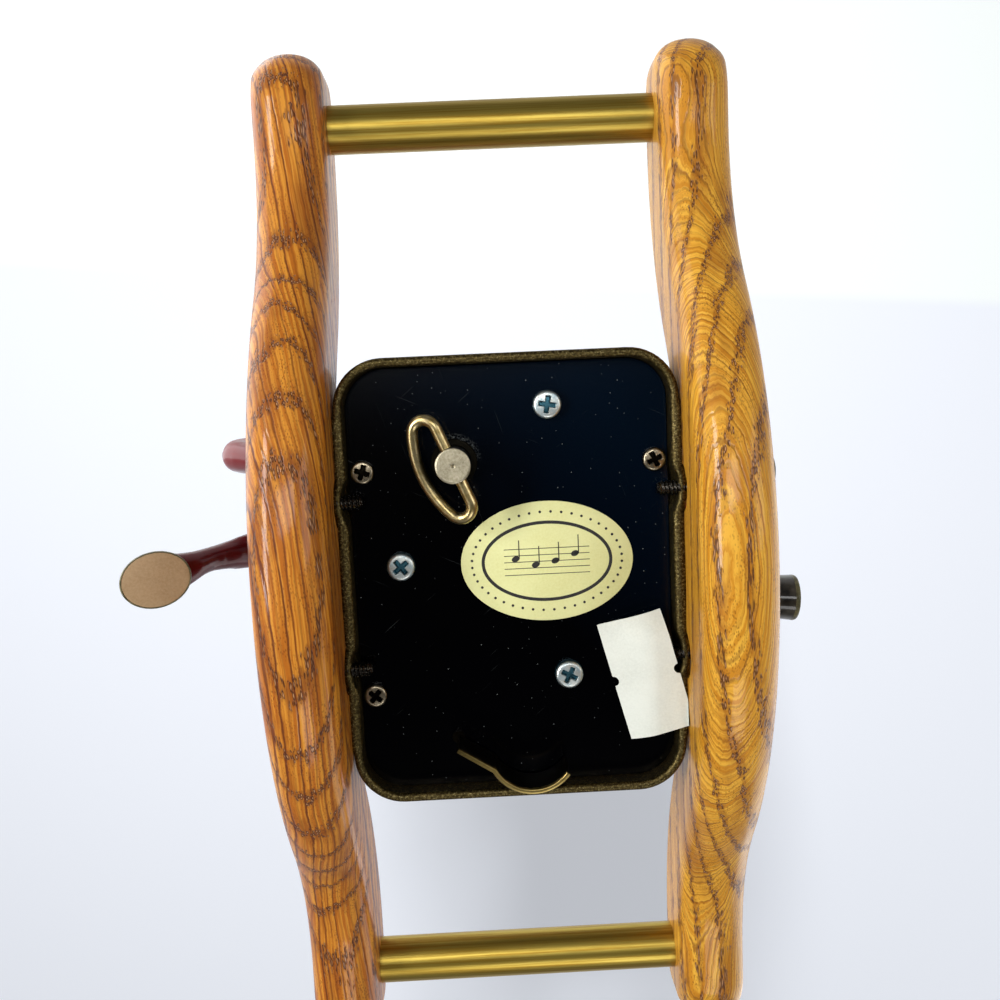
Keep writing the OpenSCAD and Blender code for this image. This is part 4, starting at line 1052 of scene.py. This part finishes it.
TAIL = [[47, 0, 107, 3, 3], [54, 0, 108, 4, 4], [61, 0, 103, 5, 5], [65, 0, 94, 5.5, 5.5],
        [64, 0, 83, 5, 5], [60, 0, 74, 3, 3], [57, 0, 69, 1, 1]]
MANE = [[-10, 0, 115.5, 1, 1.2], [-17.5, 0, 125.5, 1.8, 2.6], [-28, 0, 135.6, 2, 3.4],
        [-37, 0, 145.4, 2, 3.6], [-44.6, 0, 154.6, 1.9, 3.2], [-50, 0, 159.5, 1.6, 2.2],
        [-54, 0, 159.5, 1, 1.2]]
EAR = [[-50, 3.4, 156, 2.4], [-51, 3.8, 160, 2.2], [-52, 4.2, 164, 1.2], [-52.4, 4.3, 165.5, 0.4]]
LEGS = {
    "fore_near": [[-30, 8, 98, 10], [-38, 9.2, 86, 8.2], [-46.5, 9, 73, 6.2], [-52.5, 8.5, 63, 5.2],
                  [-55.5, 8.4, 58, 4.4], [-59, 8.6, 52, 3.7], [-63.6, 8.8, 44, 2.8], [-66, 9.6, 39.6, 3.3],
                  [-69, 10.6, 37, 4.4], [-72.3, 11.5, 35.6, 5.4], [-70.2, 10.7, 30, 6.9]],
    "fore_far": [[-30, -8, 98, 10], [-40, -9.5, 90, 8.2], [-53, -10.5, 84.5, 6], [-66, -10.8, 80.5, 4.5],
                 [-60, -10.8, 71, 3.8], [-51, -10.6, 63, 4.2], [-47.5, -10.5, 60, 4], [-45, -10.5, 57.6, 5.2],
                 [-40, -10.5, 54, 6.4]],
    "hind_near": [[30, 10, 98, 13], [39, 12, 88, 10.5], [46, 13, 77, 7.4], [50.5, 13, 68, 5.4],
                  [51, 13, 58, 4.2], [52, 13, 50.5, 4.6], [54.5, 13, 46.8, 4.2], [57, 13, 45.6, 5.4],
                  [63, 13, 45.2, 6]],
    "hind_far": [[30, -10, 98, 13], [39, -12, 90, 10.5], [45.5, -13, 82, 7.2], [49.5, -13, 75, 5.2],
                 [49.5, -13, 67, 4.2], [49.5, -13, 61, 4.5], [51, -13, 58.2, 4.1], [53.5, -13, 57, 5.1],
                 [59, -13, 57, 6]]}
print("legs:", ", ".join(LEGS))

# %% [markdown]
# Gloss glaze is coloured glass on clay. It pools dark in hollows and has a few pin-sized pits. Here the red
# is also darker low down and lighter higher up. A single flat colour with a coat would look like plastic, so
# patches of about 7 mm and specks of a few tenths vary the colour under an even clear coat.

# %% Glaze
def glaze(name, deep, bright, pool_mm=7.0, fade=None, gloss=0.08):
    """Glaze that pools darker in patches of pool_mm and turns to a lighter tone over a range of heights."""
    mat, node, mm = start(name)
    pool = node("TexNoise", {"Vector": mm, "Scale": 1 / pool_mm, "Detail": 3.0})
    layers = [(node("MapRange", {"Value": pool, "From Min": 0.35, "From Max": 0.65}), bright)]
    if fade:
        higher_tone, low, high = fade
        z = node("SeparateXYZ", {0: mm}, "Z")
        layers.append((node("MapRange", {"Value": z, "From Min": low, "From Max": high}), higher_tone))
    speck = node("TexVoronoi", {"Vector": mm, "Scale": 0.4}, "Distance")
    layers.append((node("MapRange", {"Value": speck, "From Min": 0.08, "From Max": 0.03}), "#240507"))
    tone = linear(deep)
    for share, colour in layers:
        tone = node("Mix", {0: share, 6: tone, 7: linear(colour)}, 2, data_type="RGBA")
    bump = node("Bump", {"Strength": 0.04, "Distance": 0.0002, "Height": pool})
    return finish(mat, {"Base Color": tone, "Roughness": 0.35, "Specular IOR Level": 0.12, "Normal": bump,
                        "Coat Weight": gloss, "Coat Roughness": 0.08})


# The red is darker towards the bottom and turns lighter from 54 to 96 mm up.
red_glaze = glaze("dark_red_glaze", "#4E0105", "#5E0307", 7.0, ("#921A20", 54, 96), 0.4)
# Nearly black and glassy on the wall, thin and olive at the wiped edge, dull sandy clay below.
hoof_glaze = glaze("dark_hoof_glaze", "#15120E", "#4A463D", 3.0, gloss=0.7)
rim_glaze = glaze("olive_hoof_edge_glaze", "#45432F", "#777254", 2.0)
sole_clay = paper("bare_clay_sole", "#B0946F", "#94764F")

# %% [markdown]
# The horse was cast in one piece, and its glaze rounds every crease. Rings carried along stations give
# parts that run into each other. A boolean would leave hard seams, so the parts are merged by a fine voxel
# remesh and then relaxed, which fills the creases as a glaze does. Two small glazed balls are its eyes.

# %% Limbs along stations
def eased(stations, steps=7):
    """A Catmull-Rom curve through the stations: each span is a cubic of its own two and their neighbours."""
    p = np.asarray(stations, float)
    p = np.concatenate([[2 * p[0] - p[1]], p, [2 * p[-1] - p[-2]]])
    t = np.linspace(0, 1, steps, endpoint=False)[None, :, None]
    a, b, c, d = (p[k:len(p) - 3 + k][:, None] for k in range(4))
    curve = 2 * b + (c - a) * t + (2 * a - 5 * b + 4 * c - d) * t ** 2 + (3 * b - a - 3 * c + d) * t ** 3
    return np.concatenate([(0.5 * curve).reshape(-1, p.shape[1]), p[-2:-1]])


def limb(stations, sides=32):
    """Ovals square to a path near the X Z plane: width times cosine to the side, height times sine upwards.
    The last number of a station is its height, and its width too where it has only four."""
    s = eased(stations)
    way = np.gradient(s[:, :3], axis=0)
    way /= np.linalg.norm(way, axis=1)[:, None]
    up = np.cross(way, [0.0, 1.0, 0.0])
    up /= np.linalg.norm(up, axis=1)[:, None]
    side = np.cross(up, way)
    angle = np.linspace(0, 2 * np.pi, sides, endpoint=False)[None, :, None]
    wide, high = s[:, 3, None, None], s[:, -1, None, None]
    return grid(s[:, None, :3] + side[:, None] * wide * np.cos(angle) + up[:, None] * high * np.sin(angle))


# %% Horse body
HORSE_TURN, POST_AT = 4.8, np.array([0.0, -6.0, 0.0])
VOXEL, RELAX, RELAX_ROUNDS = 1.0, 0.5, 16


def on_post(shape):
    """A horse shape turned and set over the post."""
    return moved(shape, turn_about("Z", HORSE_TURN), POST_AT)


parts = [limb(stations) for stations in (TORSO, NECK, HEAD, MANE, TAIL)]
parts += [limb(stations[:-1]) for stations in LEGS.values()]
parts += [limb(np.array(EAR) * [1, side, 1, 1]) for side in (-1, 1)]
horse = make("glazed_horse", on_post(join(*parts)), red_glaze)
melt = horse.modifiers.new("melt", "REMESH")
melt.mode = "VOXEL"
melt.voxel_size = VOXEL * MM
relax = horse.modifiers.new("relax", "SMOOTH")
relax.factor = RELAX
relax.iterations = RELAX_ROUNDS
settle(horse, 60)
place(horse, "base", "horse_glaze", "horse_figure")

# %% Eyes
EYE_AT, EYE_R = np.array([-58.0, 4.9, 152.5]), 1.5
lean = np.linspace(-np.pi / 2, np.pi / 2, 17)
ball = lathe(np.stack([EYE_R * np.cos(lean), EYE_R * np.sin(lean)], axis=1), 32)
for name, side in (("near", 1), ("far", -1)):
    eyeball = on_post(moved(ball, at=EYE_AT * (1, side, 1)))
    place(make("horse_eye_" + name, eyeball, hoof_glaze, 60), "base", "horse_glaze")

# %% [markdown]
# Each hoof has a dark, shiny wall, an olive edge where the glaze was wiped, and a pale bare sole that stood
# on the kiln shelf. One mesh with three materials would do. Three turned pieces, pressed oval and set along
# the last bone of the leg, keep each finish to a piece of its own.

# %% Hooves
HOOF_OVAL = 0.82
HOOF_TWIST = {"fore_near": 15.0}


def hoof_profiles(a, b, long):
    """Radius and height of the wall, the edge and the sole, from the top radius a to the foot radius b."""
    wall = [(0, -1.2), (a * 0.9, -1.2), (a + 0.1, -0.4), (a + 0.2, 0.3), (b - 0.05, long - 0.9),
            (0, long - 0.9)]
    edge = [(0, long - 1.0), (b - 0.05, long - 1.0), (b, long - 0.5), (b - 0.15, long - 0.1),
            (b - 0.25, long), (b - 0.35, long - 0.2), (0, long - 0.2)]
    sole = [(0, long - 0.3), (b - 0.36, long - 0.3), (b - 0.38, long - 0.1), (b - 1.0, long + 0.02),
            (0, long + 0.06)]
    return ("hoof", wall, hoof_glaze), ("edge", edge, rim_glaze), ("sole", sole, sole_clay)


for name, stations in LEGS.items():
    top, low = np.array(stations[-2], float), np.array(stations[-1], float)
    way = (low - top)[:3]
    length = np.linalg.norm(way)
    way /= length
    up = np.cross(way, [0.0, 1.0, 0.0])
    up /= np.linalg.norm(up)
    turn = np.stack([np.cross(up, way), up, way], axis=1) @ turn_about("Z", HOOF_TWIST.get(name, 0.0))
    oval = turn @ np.diag([HOOF_OVAL, 1.0, 1.0])
    for kind, rows, mat in hoof_profiles(top[3], low[3], length):
        shape = on_post(moved(lathe(rows, 64), oval, top[:3]))
        place(make(kind + "_" + name, shape, mat, 40), "base", "horse_glaze")

# %% [markdown]
# A brass post carries the figure, and its collar spreads the load on the case top. Both came off a lathe,
# so both are turned profiles: a stepped rod, and a ring with a soft bell shape.

# %% Post and collar
post_low, post_high = node_box("figure_post")
POST_R = (post_high[0] - post_low[0]) / 2
TENON_R = 3.0
rod = lathe([(0, post_low[2]), (TENON_R, post_low[2]), (TENON_R, TOP_Z), (POST_R, TOP_Z),
             (POST_R, post_high[2]), (0, post_high[2])], 64)
place(make("brass_post", moved(rod, at=POST_AT), post_brass, 40), "base", "rod_brass", "figure_post")
COLLAR = [(POST_R, 0), (8.9, 0), (9.0, 0.2), (9.0, 1.3), (8.7, 1.6), (7.6, 1.65), (7.2, 2.1), (6.4, 2.9),
          (5.7, 3.7), (5.4, 4.0), (5.0, 4.2), (POST_R, 4.2), (POST_R, 0)]
collar = moved(lathe(COLLAR, 96), at=POST_AT + [0, 0, node_box("post_collar")[0][2]])
place(make("brass_collar", collar, post_brass, 30), "base", "rod_brass", "post_collar")

# %% [markdown]
# The stage is a pale floor under the rockers and a pale sheet above the figure. The camera looks up through
# the floor. A hole in it would show, so each sheet shows one face only: its other side lets every ray
# through. A share of glow, for rays from the camera and from shiny or clear things, keeps it pale without
# more light.

# %% One-sided sheets
HORIZON, HORIZON_WAY, HORIZON_SOFT = -102.2, (-0.083, 1.0, 0.0), 5


def one_sided(name, near, far, glow_share, camera_only):
    """A sheet of two tones, part glow and part matte, that is clear from behind and to shadow rays, or to all
    rays but the camera's."""
    mat, node, mm = start(name)
    path = node("LightPath", out=None)
    lean = node("VectorMath", {0: mm, 1: HORIZON_WAY}, "Value", operation="DOT_PRODUCT")
    share = node("MapRange", {"Value": lean, "From Min": HORIZON - HORIZON_SOFT,
                              "From Max": HORIZON + HORIZON_SOFT}, **SMOOTH)
    tint = node("Mix", {0: share, 6: linear(near), 7: linear(far)}, 2, data_type="RGBA")
    seen = path["Is Camera Ray"]
    for kind in ("Is Glossy Ray", "Is Transmission Ray"):
        seen = node("Math", {0: seen, 1: path[kind]}, operation="MAXIMUM")
    seen = node("Math", {0: seen, 1: glow_share}, operation="MULTIPLY")
    glow = node("Emission", {"Color": tint, "Strength": 1.0})
    matte = mat.node_tree.nodes["Principled BSDF"].outputs[0]
    front = node("MixShader", {0: seen, 1: matte, 2: glow})
    unseen = path["Is Shadow Ray"]
    if camera_only:
        unseen = node("Math", {0: 1.0, 1: path["Is Camera Ray"]}, operation="SUBTRACT")
    unseen = node("Math", {0: unseen, 1: node("NewGeometry", out="Backfacing")}, operation="MAXIMUM")
    both = node("MixShader", {0: unseen, 1: front, 2: node("BsdfTransparent")})
    connect(mat.node_tree, mat.node_tree.nodes["Material Output"], {"Surface": both})
    return finish(mat, {"Base Color": tint, "Roughness": 0.9, "Specular IOR Level": 0.0})


# %% Floor and backdrop
BACKDROP_Z = 450


def sheet_of(name, half, middle, z, up, mat):
    """A flat square sheet facing up or down."""
    corners = np.array([[-1, -1, 0], [1, -1, 0], [1, 1, 0], [-1, 1, 0]]) * half + [0, middle, z]
    mesh = bpy.data.meshes.new(name)
    mesh.from_pydata((corners * MM).tolist(), [], [[0, 1, 2, 3] if up else [3, 2, 1, 0]])
    mesh.materials.append(mat)
    made = bpy.data.objects.new(name, mesh)
    bpy.context.scene.collection.objects.link(made)
    return made


sheet_of("floor", 1500, 0, -0.3, True, one_sided("pale_floor", "#F2F2F5", "#F2F2F5", 0.72, True))
pale_sheet = one_sided("pale_backdrop", "#F8FDFC", "#F0F4FC", 0.45, False)
backdrop = sheet_of("backdrop", 380, 35, BACKDROP_Z, False, pale_sheet)

# %% [markdown]
# The light is a window on the left, soft fills near the camera, and two large soft lamps from above for the
# other sides. The lamps near the camera would also bleach the sheet behind the figure, so light linking
# keeps them off it, and it has a lamp of its own that throws the box's shadow on it.

# %% Soft lamps
def softbox(name, at, aim, size, watts):
    """A soft rectangular lamp at a point, facing another, in millimetres."""
    data = bpy.data.lights.new(name, "AREA")
    data.shape = "RECTANGLE"
    data.size, data.size_y = size[0] * MM, size[1] * MM
    data.energy = watts
    lamp = bpy.data.objects.new(name, data)
    facing = (Vector(at) - Vector(aim)).to_track_quat("Z", "Y").to_matrix().to_4x4()
    lamp.matrix_world = Matrix.Translation(Vector(at) * MM) @ facing
    bpy.context.scene.collection.objects.link(lamp)
    print(name, watts, "W")
    return lamp


def light_set(name, state):
    """A group that makes a lamp light the backdrop alone, or everything but the backdrop."""
    group = bpy.data.collections.new(name)
    group.objects.link(backdrop)
    group.collection_objects[0].light_linking.link_state = state
    return group


# %% Lamps
LOOK_AT, TOP_LOOK_AT = (0, 0, 20), (0, 0, 60)
off_sheet = light_set("all_but_backdrop", "EXCLUDE")
for name, at, size, watts in (("window_left", (-430, -100, -320), (420, 120), 2.6),
                              ("fill_right", (400, -120, -320), (260, 260), 0.62),
                              ("camera_side", (-20, -150, -450), (300, 110), 0.64),
                              ("camera_low", (40, 430, -380), (260, 200), 0.6)):
    softbox(name, at, LOOK_AT, size, watts).light_linking.receiver_collection = off_sheet
sheet_lamp = softbox("backdrop_lamp", (-60, -295, -420), (0, 120, BACKDROP_Z), (100, 80), 8.8)
sheet_lamp.light_linking.receiver_collection = light_set("backdrop_only", "INCLUDE")
softbox("top_left", (-700, -450, 420), TOP_LOOK_AT, (1100, 1100), 7.5)
softbox("top_right", (700, 350, 350), TOP_LOOK_AT, (900, 900), 3.8)

# %% [markdown]
# The rest of the room is a pale sky above and a dim floor below, so that polished metal has something to
# reflect. One even grey would light the underside too much. The strength follows the height instead, and is
# 1 for the camera, where it is only background.

# %% Room light
world = bpy.data.worlds.new("studio")
bpy.context.scene.world = world
world.use_nodes = True
sky = world.node_tree
node = functools.partial(add, sky)
height = node("SeparateXYZ", {0: node("TexCoord", out="Generated")}, "Z")
above = node("MapRange", {"Value": height, "From Min": -0.1, "From Max": 0.4, "To Max": 0.7})
below = node("MapRange", {"Value": height, "From Min": -0.93, "From Max": -0.7, "To Min": 0.03,
                          "To Max": 0.18})
power = above
for other in (below, node("LightPath", out="Is Camera Ray")):
    power = node("Math", {0: power, 1: other}, operation="MAXIMUM")
connect(sky, sky.nodes["Background"], {"Color": linear("#F4F5FA"), "Strength": power})
bpy.context.scene.view_settings.view_transform = "Standard"
print("room:", len(sky.nodes), "nodes")
